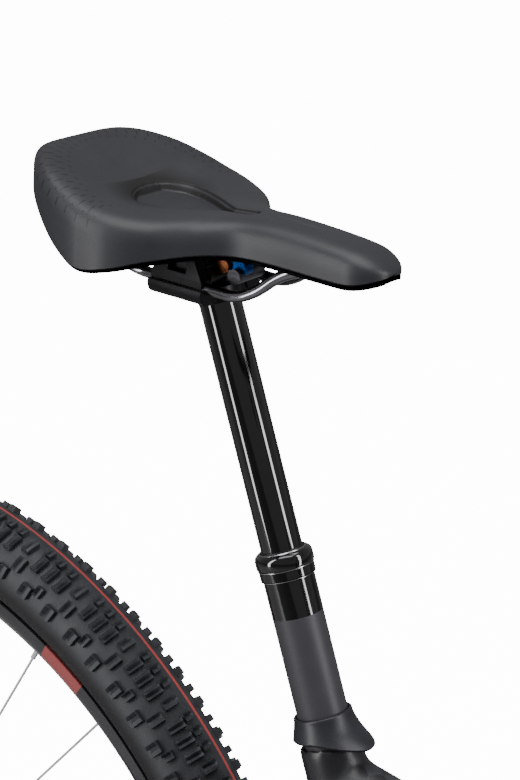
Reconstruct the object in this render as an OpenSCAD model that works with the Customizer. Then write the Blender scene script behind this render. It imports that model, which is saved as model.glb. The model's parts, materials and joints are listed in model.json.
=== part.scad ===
// Hardtail mountain bike with 29 inch wheels, a telescopic fork and a dropper seat post.
// Millimetres. +X is forward, +Y is the rider's left and +Z is up.
// The origin is on the ground, halfway between the two axles.

/* [Frame geometry] */
// Distance between the two wheel axles
wheelbase = 1160; // [1120:5:1210]
// Rear axle to bottom bracket centre
chainstay = 440; // [436:1:460]
// Bottom bracket centre below the axles
bb_drop = 58; // [45:1:65]
// Angle of the steering axis above the horizontal
head_angle = 67.5; // [66:0.5:69]
// Angle of the seat post above the horizontal
seat_angle = 71.6; // [70:0.2:73]
// How far ahead of the bottom bracket the seat post's axis passes
seat_axis_ahead = 46; // [35:1:60]
// Height of the seat tube's top above the bottom bracket
seat_tube_rise = 338; // [325:1:380]
// Length of the head tube
head_tube_len = 100; // [95:1:130]

/* [Frame tubes] */
// Radius of the down tube
down_tube_r = 24; // [20:0.5:26]
// Radius of the top tube
top_tube_r = 19; // [16:0.5:21]
// Radius of the seat tube
seat_tube_r = 19.5; // [19:0.5:22]
// Radius of each chainstay
chainstay_r = 9; // [7:0.5:9.5]
// Radius of each seatstay
seatstay_r = 7.5; // [6:0.5:9]

/* [Fork] */
// Axle to crown race, along the steering axis
axle_to_crown = 528; // [520:1:545]
// How far the axle stands ahead of the steering axis
fork_offset = 44; // [40:1:50]
// Travel of the lower legs
fork_travel = 110; // [80:5:112]
// Radius of each upper tube
stanchion_r = 17; // [15:0.5:18]
// Half of the distance between the fork legs
leg_y = 66; // [64:1:72]

/* [Wheels] */
// Width of each tyre
tyre_w = 59; // [54:0.5:60]
// Radius of the tyre's seat on the rim
bead_r = 311; // [311:1:311]
// Height of the tyre above its seat
tyre_h = 58; // [54:0.5:59]
// Outside width of each rim
rim_w = 35; // [30:0.5:36]
// Depth of each rim, from the seat inwards
rim_depth = 15; // [12:1:22]
// Spokes in each wheel
spokes = 28; // [24:4:32]
// Radius of a spoke
spoke_r = 1; // [0.8:0.1:1.1]
// Radius of the front brake disc
front_rotor_r = 90; // [80:10:90]
// Radius of the rear brake disc
rear_rotor_r = 80; // [70:10:80]

/* [Seat post and saddle] */
// Outside diameter of the post's lower tube
post_d = 31.6; // [30.9:0.1:31.6]
// Outside diameter of the post's sliding tube
slider_d = 25.6; // [24:0.2:26]
// Bare length of the lower tube, from the seat tube's cover to the collar
post_bare = 87; // [60:1:110]
// Bare length of the sliding tube when it is fully up
slider_bare = 157; // [130:1:180]
// Length of the saddle
saddle_len = 248; // [240:1:270]
// Width of the saddle
saddle_w = 146; // [135:1:155]
// How far the saddle's nose tilts down
saddle_tilt = 2.5; // [0:0.5:4]

/* [Drivetrain] */
// Teeth on the chainring
ring_teeth = 32; // [30:2:34]
// Crank arm length between axes
crank_len = 170; // [165:2.5:175]
// Distance of the chain from the bike's middle
chainline = 51.5; // [50:0.5:53]

/* [Handlebar] */
// Width of the handlebar
bar_w = 760; // [720:10:800]
// Rise of the handlebar's ends
bar_rise = 15; // [5:1:25]
// Stem length between its clamps
stem_len = 60; // [50:5:80]

/* [Hidden] */
$fn = 48;
fit = 0.08;       // gap between pieces that turn or slide on each other
snug = 0.05;      // gap between pieces that are fixed to each other
pitch = 12.7;     // chain pitch

// ---- places that everything else is worked out from ----
wheel_r = bead_r + tyre_h;
rear_axle_at = [-wheelbase / 2, 0, wheel_r];
front_axle_at = [wheelbase / 2, 0, wheel_r];
bb_at = [rear_axle_at.x + sqrt(pow(chainstay, 2) - pow(bb_drop, 2)), 0, wheel_r - bb_drop];
steer_up = [-cos(head_angle), 0, sin(head_angle)];
steer_ahead = [sin(head_angle), 0, cos(head_angle)];
race_at = front_axle_at - fork_offset * steer_ahead + axle_to_crown * steer_up;
seat_up = [-cos(seat_angle), 0, sin(seat_angle)];
seat_at = [bb_at.x + seat_axis_ahead - seat_tube_rise / tan(seat_angle), 0, bb_at.z + seat_tube_rise];

// ---- steering and fork ----
ht_gap = 2;                                  // head tube above the crown race
ht_top = ht_gap + head_tube_len;
steerer_r = 14.3;
race_r = 19.9;
lower_bearing_r = 26;
upper_bearing_r = 21;
bearing_h = 7;
crown_h = 36;
leg_x = fork_offset - 6;                     // fork legs ahead of the steering axis
leg_r = stanchion_r + 4.5;
leg_top = -crown_h - fork_travel - 12;       // top of the lower legs at full length
axle_z = -axle_to_crown;
front_hub_half = 55;
front_rotor_y = 39;
cover_h = 14;
spacer_h = 10;
stem_h = 40;
stem_z = ht_top + 1 + cover_h + spacer_h;    // bottom of the stem's clamp
bar_x = stem_len;
bar_z = stem_z + stem_h / 2;
bar_r = 15.9;
plate_bolt_z = bar_r + 3.6;                  // faceplate bolts above and below the bar
plate_half = plate_bolt_z + 4.5;
bar_bend_r = 13;
grip_bar_r = 11.1;
back_sweep = 7;
up_sweep = 4;
bar_bend_y = 75;
grip_len = 132;
grip_r = 16;
bar_half = bar_w / 2;
bar_end = [bar_x - (bar_half - bar_bend_y) * tan(back_sweep), bar_half, bar_z + bar_rise];
bar_bend = [bar_x, bar_bend_y, bar_z];
bar_dir = (bar_end - bar_bend) / norm(bar_end - bar_bend);

// ---- wheels ----
tyre_mid_r = wheel_r - tyre_w / 2;
tyre_wall = 3.2;
rim_in_r = bead_r - rim_depth;
rear_hub_half = 74;
rear_rotor_y = 59;
rotor_t = 1.8;
axle_r = 6;
front_flange_y = [24, -30];                  // left flange, right flange
rear_flange_y = [30, -18];
front_flange_r = 26;
rear_flange_r = 29;

// ---- drivetrain ----
cog_teeth = [51, 45, 39, 33, 28, 24, 21, 18, 16, 14, 12, 10];
cog_gap = 3.6;
cog_used = 6;
cog_y0 = -chainline + cog_used * cog_gap;    // the largest cog
cog_t = 1.8;
shell_half = 46;
spindle_r = 12;
crank_y = 70;                                // middle of each crank arm
crank_t = 14;
guide_teeth = 12;
tension_teeth = 14;
guide_at = rear_axle_at + [25, -chainline, -136];
cage_len = 93;
cage_angle = 25;
tension_at = guide_at + cage_len * [sin(cage_angle), 0, -cos(cage_angle)];
b_pivot_at = rear_axle_at + [-8, -90, -32];
p_pivot_at = [guide_at.x, -76, guide_at.z];
link_run = p_pivot_at - b_pivot_at;
shift_axis = [-link_run.z, 0, link_run.x] / norm([link_run.x, link_run.z]);

// ---- seat post and saddle ----
cover_lift = 18;                             // top of the seat clamp's cover above the seat tube
collar_h = 17;
collar_r = 18;
collar_at = cover_lift + post_bare;          // bottom of the collar, along the post
slider_top = collar_at + collar_h + slider_bare;
rail_r = 3.5;
rail_y = 22;
head_neck = 4;                               // length of the head's neck under its cradle
rail_along = slider_top + 11.5;               // rail centre line, along the post
rail_at = seat_at + rail_along * seat_up;
clamp_len = 40;
clamp_x = -7;                                // middle of the rail clamp
clamp_bolt_x = 15;                           // clamp bolts before and behind its middle
tail_behind = 121;                           // saddle's tail behind the post
rear_round = 0.31;                           // share of the length over which the tail is an ellipse in plan
nose_round = 0.09;                           // share of the length over which the nose is rounded
pad_t = 13;                                  // thickness of the cover at its middle
// Saddle stations: share of the length from the tail, share of the half width,
// then the heights of the middle, the shoulders and the lower edge above the rails.
saddle_stations = [
    [0.00, 1.00, 58.0, 60.0, 54.0], [0.06, 1.00, 62.0, 65.5, 48.0], [0.15, 1.00, 54.0, 63.0, 35.0],
    [0.24, 1.00, 46.5, 58.0, 19.0], [0.31, 1.00, 43.0, 53.5, 11.5], [0.39, 0.95, 42.0, 49.0, 14.5],
    [0.47, 0.79, 42.5, 46.0, 20.5], [0.54, 0.52, 43.5, 44.5, 23.5], [0.61, 0.36, 45.0, 45.5, 25.0],
    [0.70, 0.31, 46.0, 46.0, 25.5], [0.85, 0.29, 44.0, 44.0, 24.5], [0.93, 0.28, 41.5, 41.5, 24.5],
    [1.00, 0.27, 37.0, 37.0, 27.0]];

// ---- helpers ----
function gear_r(teeth) = pitch / 2 / sin(180 / teeth);
function mirror_y(p, s) = [p.x, s * p.y, p.z];
function steer_point(p) = race_at + p.x * steer_ahead + [0, p.y, 0] + p.z * steer_up;
function seat_point(p) = seat_at + p.x * [sin(seat_angle), 0, cos(seat_angle)] + [0, p.y, 0] + p.z * seat_up;
function unit(v) = v / norm(v);

// A round bar from a to b.
module rod(a, b, r, r2 = -1) {
    v = b - a;
    translate(a) rotate([0, acos(v.z / norm(v)), atan2(v.y, v.x)])
        cylinder(h = norm(v), r1 = r, r2 = r2 < 0 ? r : r2);
}
// A turned bar that starts at a and runs towards b. Its outline holds pairs of radius and distance from a.
module turned(a, b, outline) {
    v = b - a;
    translate(a) rotate([0, acos(v.z / norm(v)), atan2(v.y, v.x)])
        rotate_extrude() polygon(concat([[0, outline[0].y]], outline, [[0, outline[len(outline) - 1].y]]));
}
// Round bars along a list of points, with a ball at each inner point.
module bent_rod(points, r) {
    for (i = [0 : len(points) - 2]) rod(points[i], points[i + 1], r);
    for (i = [1 : len(points) - 2]) translate(points[i]) sphere(r = r + 0.2);
}
module on_steerer() translate(race_at) rotate([0, head_angle - 90, 0]) children();
module on_post() translate(seat_at) rotate([0, seat_angle - 90, 0]) children();
module on_rails() translate(rail_at) rotate([0, saddle_tilt, 0]) children();
module both_sides() for (s = [1, -1]) scale([1, s, 1]) children();
// A cylinder along Y, centred at the origin.
module across(r, h) rotate([90, 0, 0]) cylinder(r = r, h = h, center = true);
// A cylinder along Y between two y values.
module across_from(r, y0, y1) translate([0, min(y0, y1), 0]) rotate([-90, 0, 0]) cylinder(r = r, h = abs(y1 - y0));
module ring(r_out, r_in, y0, y1) difference() {
    across_from(r_out, y0, y1);
    across_from(r_in, min(y0, y1) - 1, max(y0, y1) + 1);
}

// ---- swept round tube, for cables and hoses ----
function spline_point(p, i, t) = let (
    a = p[max(i - 1, 0)], b = p[i], c = p[i + 1], d = p[min(i + 2, len(p) - 1)])
    0.5 * (2 * b + (c - a) * t + (2 * a - 5 * b + 4 * c - d) * t * t + (3 * b - a - 3 * c + d) * t * t * t);
function spline(p, n) = [for (i = [0 : len(p) - 2]) for (k = [0 : n - 1]) spline_point(p, i, k / n), p[len(p) - 1]];
function tangents(q) = [for (i = [0 : len(q) - 1]) unit(q[min(i + 1, len(q) - 1)] - q[max(i - 1, 0)])];
function carried(t, prev, i = 0) = i >= len(t) ? [] :
    let (v = prev - (prev * t[i]) * t[i], n = unit(v)) concat([n], carried(t, n, i + 1));
module sweep(points, r, steps = 3, sides = 8) {
    q = spline(points, steps);
    t = tangents(q);
    n = carried(t, abs(t[0].y) < 0.8 ? [0, 1, 0.01] : [1, 0, 0.01]);
    rings = [for (i = [0 : len(q) - 1]) for (k = [0 : sides - 1])
        q[i] + r * (cos(360 * k / sides) * n[i] + sin(360 * k / sides) * cross(t[i], n[i]))];
    last = (len(q) - 1) * sides;
    polyhedron(rings, concat(
        [[for (k = [0 : sides - 1]) k]],
        [for (i = [0 : len(q) - 2]) for (k = [0 : sides - 1]) let (a = i * sides, m = (k + 1) % sides)
            [a + k, a + sides + k, a + sides + m, a + m]],
        [[for (k = [sides - 1 : -1 : 0]) last + k]]), convexity = 6);
}

// ---- frame ----
top_tube_joint = steer_point([0, 0, ht_top - 24]);
down_tube_joint = steer_point([0, 0, 52]);
down_tube_bend = steer_point([-112, 0, 22]);
seat_tube_knee = seat_point([0, 0, -(seat_tube_rise - 165) / sin(seat_angle)]);
top_tube_points = [seat_point([0, 0, -26]), seat_at + [62, 0, -34], seat_at + [170, 0, 6],
    seat_at + [300, 0, 96], top_tube_joint];
stay_yoke = [bb_at.x - 60, 38, bb_at.z + 10];
chain_stay_end = rear_axle_at + [34, 78, -8];
seat_stay_foot = rear_axle_at + [4, 77, 44];
seat_stay_bend = rear_axle_at + [352, 40, 162];
seat_stay_joint = seat_point([-2, 9, -112]);
boss_along = [230, 294];                     // bottle bosses along the down tube, from the bottom bracket
down_dir = unit(down_tube_bend - bb_at);
down_normal = [-down_dir.z, 0, down_dir.x];
boss_r = 2.1;
boss_depth = 12;
module dropout() translate([0, 82, 0]) rotate([90, 0, 0]) linear_extrude(8)
    polygon([[46, -18], [46, 2], [20, 30], [12, 54], [-6, 54], [-14, 20], [-24, 6], [-24, -16], [-10, -24], [14, -22]]);
module main_tubes(grow = 0) {
    on_steerer() translate([0, 0, ht_gap]) cylinder(h = head_tube_len, r1 = 30 + grow, r2 = 25.5 + grow);
    bent_rod([down_tube_joint, down_tube_bend, bb_at], down_tube_r + grow);
    rod(seat_tube_knee, seat_at, seat_tube_r + grow);
    rod(bb_at, seat_tube_knee, seat_tube_r + 0.5);
    translate(seat_tube_knee) sphere(r = seat_tube_r + 0.9);
    translate(bb_at) across(25, 2 * shell_half);
}
module frame_stays(s) {
    bent_rod([for (p = [bb_at + [-8, 30, 4], stay_yoke, chain_stay_end]) mirror_y(p, s)], chainstay_r);
    bent_rod([for (p = [seat_stay_foot, seat_stay_bend, seat_stay_joint]) mirror_y(p, s)], seatstay_r);
    translate([rear_axle_at.x, 0, rear_axle_at.z]) scale([1, s, 1]) dropout();
}
module frame() color([0.09, 0.09, 0.1]) difference() {
    main_tubes();
    on_steerer() {
        translate([0, 0, -10]) cylinder(h = head_tube_len + 30, r = 20.4);
        translate([0, 0, -10]) cylinder(h = 10 + ht_gap + bearing_h, r = lower_bearing_r + snug);
        translate([0, 0, ht_top - bearing_h]) cylinder(h = 20, r = upper_bearing_r + snug);
    }
    on_post() translate([0, 0, -170]) cylinder(h = 200, r = post_d / 2 + snug);
    translate(bb_at) across(20.5, 2 * shell_half + 20);
    for (d = boss_along) let (p = bb_at + d * down_dir + down_tube_r * down_normal)
        rod(p - boss_depth * down_normal, p + 3 * down_normal, boss_r);
}
module top_tube() color([0.1, 0.1, 0.11]) difference() {
    bent_rod(top_tube_points, top_tube_r);
    main_tubes(snug);
    on_post() translate([0, 0, -60]) cylinder(h = 120, r = seat_tube_r + snug);
    on_steerer() cylinder(h = 200, r = 20);
}
module rear_stays() color([0.09, 0.09, 0.1]) difference() {
    for (s = [1, -1]) frame_stays(s);
    translate(bb_at) across(25 + snug, 2 * shell_half + 1);
    rod(seat_tube_knee, seat_point([0, 0, 10]), seat_tube_r + snug);
    translate(rear_axle_at) across(axle_r + snug, 200);
    translate(rear_axle_at) across(12, 2 * rear_hub_half + 0.4);
}

// ---- fixed pieces on the frame ----
module seat_clamp_cover() color([0.2, 0.2, 0.22]) difference() {
    union() {
        on_post() translate([0, 0, -14]) cylinder(h = cover_lift + 14, r1 = seat_tube_r + 5, r2 = post_d / 2 + 2.6);
        rod(seat_point([0, 0, 2]), seat_point([0, 0, 2]) + [34, 0, -22], 15, 11);
    }
    main_tubes();
    bent_rod(top_tube_points, top_tube_r + snug);
    on_post() translate([0, 0, -40]) cylinder(h = 90, r = post_d / 2 + snug);
    on_post() translate([0, 0, -40]) cylinder(h = 40 + 2, r = seat_tube_r + snug);
}
// Headset bearings and bottom bracket cups.
module frame_bearings() color([0.6, 0.6, 0.62]) {
    on_steerer() translate([0, 0, ht_gap]) bearing(lower_bearing_r, race_r + fit, bearing_h);
    on_steerer() translate([0, 0, ht_top - bearing_h]) bearing(upper_bearing_r, steerer_r + fit, bearing_h);
    both_sides() translate(bb_at) {
        ring(20.4, spindle_r + fit, shell_half - 14, shell_half);
        ring(22, spindle_r + fit, shell_half, shell_half + 2);
    }
}
module bearing(r_out, r_in, h) difference() {
    cylinder(h = h, r = r_out);
    translate([0, 0, -1]) cylinder(h = h + 2, r = r_in);
}
module rear_axle() color([0.15, 0.15, 0.16]) translate(rear_axle_at) {
    across_from(axle_r, -82, 82);
    difference() {
        across_from(9, 82.05, 87);
        across_from(3, 84, 90, $fn = 6);
    }
}
module dropper_outer_tube() color([0.22, 0.22, 0.23]) on_post() difference() {
    translate([0, 0, -160]) cylinder(h = 160 + collar_at, r = post_d / 2);
    translate([0, 0, -157]) cylinder(h = 400, r = slider_d / 2 + fit);
}
module dropper_collar() color([0.05, 0.05, 0.05]) on_post() {
    difference() {
        union() {
            translate([0, 0, collar_at]) cylinder(h = 6, r = collar_r - 0.8);
            translate([0, 0, collar_at]) cylinder(h = collar_h - 2, r = collar_r - 1.6);
            translate([0, 0, collar_at + 6.6]) cylinder(h = 6.4, r = collar_r - 0.2);
            translate([0, 0, collar_at + 13]) cylinder(h = collar_h - 13, r1 = collar_r, r2 = collar_r - 2);
        }
        translate([0, 0, collar_at - 1]) cylinder(h = collar_h + 2, r = slider_d / 2 + fit);
        translate([0, 0, collar_at + collar_h - 2.5]) cylinder(h = 5, r = slider_d / 2 + 2);
    }
    color([0.8, 0.8, 0.8]) translate([0, 0, collar_at + collar_h - 2.4])
        bearing(slider_d / 2 + 1.9, slider_d / 2 + fit, 3);
}
// A brake caliper round a disc in the plane y = 0, its bridge outwards along +X, with two pads.
module caliper() {
    difference() {
        union() {
            translate([-17, -14.5, -17]) cube([34, 29, 34]);
            translate([-10, 12, -12]) cube([20, 4, 24]);
        }
        translate([-20, -3.4, -13]) cube([33, 6.8, 26]);
        translate([-20, -1.8, -20]) cube([33, 3.6, 40]);
    }
    for (s = [1, -1]) translate([-15, s * 2.15 - 1, -11]) cube([26, 2, 22]);
}
rear_caliper_at = [74, rear_rotor_y, 30];
front_caliper_at = [-30, front_rotor_y, axle_z + 66];
module rear_caliper() color([0.1, 0.1, 0.11]) translate(rear_axle_at) {
    translate(rear_caliper_at) rotate([0, -22, 0]) caliper();
    difference() {
        hull() {
            translate([62, 66.5, -2]) cube([30, 7, 4]);
            translate([62, 66.5, 12]) cube([26, 7, 4]);
        }
        translate(-rear_axle_at) frame_stays(1);
        translate(rear_caliper_at) rotate([0, -22, 0]) translate([-20, -14.6, -17.1]) cube([40, 31, 34.2]);
        across_from(rear_rotor_r + 1, 50, 61);
    }
}
// Hose and cable that leave the stays and reach the caliper and the derailleur.
rear_hose_points = [for (p = [[150, 60, 1], [132, 63, 18], [112, 66, 32], [98, 66, 40], [92, 65, 42]]) rear_axle_at + p];
rear_cable_points = [for (p = [[60, -85, -6], [46, -90, -8], [30, -96, -14], [18, -98, -20], [9, -98, -24]]) rear_axle_at + p];
module rear_cables() color([0.05, 0.05, 0.05]) {
    sweep(rear_hose_points, 2.5);
    sweep(rear_cable_points, 2);
}
module derailleur_base() color([0.12, 0.12, 0.13]) {
    // hanger, bolted to the outside of the dropout
    difference() {
        hull() {
            translate(rear_axle_at + [0, -84.6, 0]) across(11, 5);
            translate(b_pivot_at + [0, 5.4, 0]) across(9, 5);
        }
        translate(rear_axle_at) across(axle_r + fit + 2, 200);
    }
    // upper knuckle
    translate(b_pivot_at) across_from(10.5, 2.8, -14);
    rod(b_pivot_at + [0, -8, 0], b_pivot_at + [0, -8, 0] - 16 * shift_axis, 6);
    translate(b_pivot_at) rotate([0, 65, 0]) translate([-6, -13, 4]) cube([12, 10, 14]);
}

// ---- sliding seat post and saddle ----
module dropper_stanchion() color([0.04, 0.04, 0.04]) on_post() difference() {
    translate([0, 0, collar_at - 60]) cylinder(h = slider_top - head_neck - collar_at + 60, r = slider_d / 2);
    translate([0, 0, collar_at - 63]) cylinder(h = slider_top - head_neck - collar_at + 60, r = slider_d / 2 - 2.5);
}
module rail_grooves(grow = 0) on_rails() both_sides() translate([-60, rail_y, 0])
    rotate([0, 90, 0]) cylinder(h = 120, r = rail_r + grow);
module clamp_bores() on_rails() for (x = [-clamp_bolt_x, clamp_bolt_x])
    translate([clamp_x + x, 0, -20]) cylinder(h = 40, r = 2.7);
module seat_head() color([0.06, 0.06, 0.06]) difference() {
    union() {
        on_post() translate([0, 0, slider_top - head_neck + snug]) cylinder(h = head_neck + 5, r1 = slider_d / 2, r2 = 15);
        on_rails() {
            both_sides() translate([clamp_x - clamp_len / 2, rail_y, -3.2]) rotate([0, 90, 0]) cylinder(h = clamp_len, r = 7);
            translate([clamp_x - 17, -rail_y, -10.2]) cube([36, 2 * rail_y, 9]);
        }
    }
    rail_grooves(snug);
    on_rails() translate([-60, -40, -0.6]) cube([120, 80, 30]);
    clamp_bores();
}
module rail_clamp() color([0.08, 0.08, 0.09]) {
    difference() {
        on_rails() translate([clamp_x, 0, 0]) {
            both_sides() hull() {
                translate([-clamp_len / 2 + 1, rail_y - 5, 0.6]) cube([clamp_len - 2, 10, 4]);
                translate([-9, rail_y - 4, 17]) cube([18, 6, 2]);
            }
            for (x = [-clamp_bolt_x, clamp_bolt_x]) translate([x, 0, 5.6]) across(5, 2 * rail_y - 6);
        }
        rail_grooves(snug);
        clamp_bores();
        on_rails() both_sides() translate([clamp_x - 7, rail_y - 1, 7]) cube([14, 10, 6]);
    }
    // two bolts: the rear one's head is underneath, the front one's on top
    for (s = [-1, 1]) on_rails() translate([clamp_x + s * clamp_bolt_x, 0, 0]) {
        translate([0, 0, -11]) cylinder(h = 21, r = 2.5);
        translate([0, 0, s < 0 ? -15.5 : 9.5]) cylinder(h = 5, r = 4);
    }
}
// Value of one column of a station table at a share u of the length, on a smooth curve.
function station(p, u, col, i = 0) = i < len(p) - 2 && u > p[i + 1][0] ? station(p, u, col, i + 1) : let (
    a = p[i], b = p[i + 1], before = p[max(i - 1, 0)], after = p[min(i + 2, len(p) - 1)], h = b[0] - a[0], t = (u - a[0]) / h,
    slope_a = (b[col] - before[col]) / (b[0] - before[0]), slope_b = (after[col] - a[col]) / (after[0] - a[0]))
    (2 * t * t * t - 3 * t * t + 1) * a[col] + (t * t * t - 2 * t * t + t) * h * slope_a
    + (3 * t * t - 2 * t * t * t) * b[col] + (t * t * t - t * t) * h * slope_b;
// Roundness that falls from 1 to 0 over the last stretch before an end.
function rounded(left, stretch, power) = pow(1 - pow(max(0, 1 - left / stretch), power), 1 / power);
function saddle_half(u) = saddle_w / 2 * station(saddle_stations, u, 1)
    * rounded(u, rear_round, 2) * rounded(1 - u, nose_round, 2.2);
// Height of the cover's top at a share f of the half width, with its shoulders rounded.
function saddle_skin(u, f) = let (
    middle = station(saddle_stations, u, 2), shoulder = station(saddle_stations, u, 3), edge = station(saddle_stations, u, 4),
    n = 3.2 + 2.3 * min(1, max(0, (0.53 - u) / 0.2)), fall = pow(max(0, 1 - pow(f, n)), 1 / n),
    rest = edge + 0.35 * (shoulder - edge))
    rest + (edge + (shoulder - edge) * fall + (middle - shoulder) * (1 - f * f) * fall - rest)
    * rounded(u, 0.04, 2.2) * rounded(1 - u, nose_round, 2.2);
// Height of the cover's underside, or of a layer that lies under it.
function saddle_belly(u, f, under) = let (
    middle = station(saddle_stations, u, 2), shoulder = station(saddle_stations, u, 3), edge = station(saddle_stations, u, 4),
    rest = edge + 0.35 * (shoulder - edge))
    rest - 0.5 - under + (edge + max(1, middle - pad_t - edge) * (1 - f * f) - rest)
    * rounded(u, 0.04, 2.2) * rounded(1 - u, nose_round, 2.2);
saddle_steps = 26;
saddle_sides = 9;
// Stations bunched towards the tail and the nose.
function saddle_share(i) = 0.5 - 0.5 * cos(180 * (i + 0.4) / (saddle_steps + 0.8));
module loft(sections) {
    m = len(sections[0]);
    last = (len(sections) - 1) * m;
    polyhedron([for (s = sections) for (p = s) p], concat(
        [[for (k = [0 : m - 1]) k]],
        [for (i = [0 : len(sections) - 2]) for (k = [0 : m - 1]) let (a = i * m, b = (k + 1) % m)
            [a + k, a + m + k, a + m + b, a + b]],
        [[for (k = [m - 1 : -1 : 0]) last + k]]), convexity = 8);
}
function across_points(u, half, high, low) = let (x = u * saddle_len - tail_behind) concat(
    [for (k = [-saddle_sides : saddle_sides]) let (f = sin(90 * k / saddle_sides)) [x, -half * f, high(abs(f))]],
    [for (k = [saddle_sides - 1 : -1 : 1 - saddle_sides]) let (f = sin(90 * k / saddle_sides)) [x, -half * f, low(abs(f))]]);
module saddle_cover() color([0.13, 0.13, 0.14]) on_rails()
    loft([for (i = [0 : saddle_steps]) let (u = saddle_share(i))
        across_points(u, saddle_half(u), function (f) saddle_skin(u, f), function (f) saddle_belly(u, f, 0))]);
module saddle_shell() color([0.03, 0.03, 0.03]) on_rails()
    loft([for (i = [0 : saddle_steps]) let (u = 0.03 + 0.945 * saddle_share(i))
        across_points(u, 0.95 * saddle_half(u), function (f) saddle_belly(u, 0.95 * f, 0.3),
            function (f) saddle_belly(u, 0.95 * f, 3.2))]);
rail_points = [[-88, 31, 37], [-66, 30, 18.5], [-50, 26.5, 6], [-36, rail_y, 0], [-26, rail_y, 0],
    [20, rail_y, 0], [34, rail_y, 0], [44, 21, 4.5], [64, 17, 19], [80, 12.5, 24.5]];
module saddle_rails() color([0.35, 0.35, 0.37]) on_rails()
    for (s = [1, -1]) sweep([for (p = rail_points) mirror_y(p, s)], rail_r, 4, 12);

// ---- crown, steerer and cockpit ----
module crown_and_steerer() color([0.08, 0.08, 0.09]) on_steerer() {
    difference() {
        union() {
            cylinder(h = bearing_h + ht_gap, r = race_r);
            translate([0, 0, bearing_h + ht_gap]) cylinder(h = 50, r1 = race_r, r2 = steerer_r);
            cylinder(h = stem_z + stem_h - 3, r = steerer_r);
            translate([0, 0, -crown_h + 2]) cylinder(h = crown_h - 2, r1 = 24, r2 = 26);
            both_sides() hull() {
                translate([leg_x, leg_y, -crown_h]) cylinder(h = crown_h - 10, r = stanchion_r + 5);
                translate([8, 0, -crown_h + 4]) cylinder(h = crown_h - 8, r = 22);
            }
        }
        translate([0, 0, -crown_h - 1]) cylinder(h = 400, r = 11);
        both_sides() translate([leg_x, leg_y, -crown_h - 1]) cylinder(h = crown_h - 12, r = stanchion_r + snug);
        both_sides() translate([leg_x, leg_y, -crown_h - 1]) cylinder(h = crown_h + 5, r = 11);
    }
}
module fork_stanchions() color([0.05, 0.05, 0.05]) on_steerer() both_sides() translate([leg_x, leg_y, 0]) difference() {
    translate([0, 0, -crown_h - 320]) cylinder(h = 320 + crown_h - 13.1, r = stanchion_r);
    translate([0, 0, -crown_h - 323]) cylinder(h = 320 + crown_h - 13.1, r = stanchion_r - 2.5);
}
module headset_cover() color([0.07, 0.07, 0.07]) on_steerer() {
    translate([0, 0, ht_top + 1]) difference() {
        cylinder(h = cover_h, r1 = 26, r2 = 20);
        translate([0, 0, -1]) cylinder(h = cover_h + 2, r = steerer_r + snug);
    }
    translate([0, 0, ht_top + 1 + cover_h + snug]) difference() {
        cylinder(h = spacer_h - 2 * snug, r = 18);
        translate([0, 0, -1]) cylinder(h = spacer_h + 2, r = steerer_r + snug);
    }
}
module stem() color([0.07, 0.07, 0.07]) on_steerer() difference() {
    union() {
        translate([0, 0, stem_z]) cylinder(h = stem_h, r = 18.5);
        hull() {
            translate([0, 0, stem_z + 3]) cylinder(h = stem_h - 6, r = 15);
            translate([bar_x - 6, 0, bar_z]) across(17, 36);
        }
        translate([bar_x - 14, 0, bar_z]) cube([24, 46, 2 * plate_half], center = true);
        translate([-20, 0, bar_z]) cube([10, 16, stem_h - 8], center = true);
    }
    translate([0, 0, stem_z - 1]) cylinder(h = stem_h + 2, r = steerer_r + snug);
    translate([bar_x, 0, bar_z]) across(bar_r + snug, 100);
    translate([bar_x, -50, stem_z - 30]) cube([60, 100, 120]);
    for (z = [-9, 9]) translate([-21, 0, bar_z + z]) across(2.6, 40);
    translate([-40, -1, stem_z - 1]) cube([30, 2, stem_h + 2]);
    for (y = [-17.5, 17.5]) for (z = [-plate_bolt_z, plate_bolt_z])
        translate([bar_x - 20, y, bar_z + z]) rotate([0, 90, 0]) cylinder(h = 60, r = 2.55);
}
module stem_faceplate() color([0.07, 0.07, 0.07]) on_steerer() difference() {
    translate([bar_x, 0, bar_z]) intersection() {
        translate([10.4, 0, 0]) cube([20, 46, 2 * plate_half], center = true);
        union() {
            across(20.5, 60);
            translate([6, 0, 0]) cube([12, 60, 60], center = true);
        }
    }
    translate([bar_x, 0, bar_z]) across(bar_r + snug, 100);
    for (y = [-17.5, 17.5]) for (z = [-plate_bolt_z, plate_bolt_z])
        translate([bar_x - 20, y, bar_z + z]) rotate([0, 90, 0]) cylinder(h = 60, r = 2.55);
}
module stem_bolts() color([0.5, 0.5, 0.52]) on_steerer() {
    for (y = [-17.5, 17.5]) for (z = [-plate_bolt_z, plate_bolt_z]) translate([bar_x - 16, y, bar_z + z]) rotate([0, 90, 0]) {
        cylinder(h = 28.2, r = 2.4);
        translate([0, 0, 28.2]) cylinder(h = 5, r = 4);
    }
    for (z = [-9, 9]) translate([-21, 0, bar_z + z]) {
        across(2.5, 20);
        across_from(4, 8.2, 13);
    }
    // top cap and its bolt
    translate([0, 0, stem_z + stem_h + snug]) cylinder(h = 4, r = 16);
    translate([0, 0, stem_z + stem_h - 20]) cylinder(h = 20.5, r = 3);
}
module handlebar() color([0.08, 0.08, 0.08]) on_steerer() difference() {
    union() {
        turned(bar_bend - [0, 2 * bar_bend_y, 0], bar_bend, [[bar_bend_r, 0], [bar_r, bar_bend_y - 31],
            [bar_r, bar_bend_y + 31], [bar_bend_r, 2 * bar_bend_y]]);
        both_sides() {
            turned(bar_bend, bar_end, [[bar_bend_r, 0], [grip_bar_r, 60], [grip_bar_r, norm(bar_end - bar_bend)]]);
            translate(bar_bend) sphere(r = bar_bend_r + 0.3);
        }
    }
    both_sides() rod(bar_end - 60 * bar_dir, bar_end + 5 * bar_dir, grip_bar_r - 1.8);
}
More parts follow.
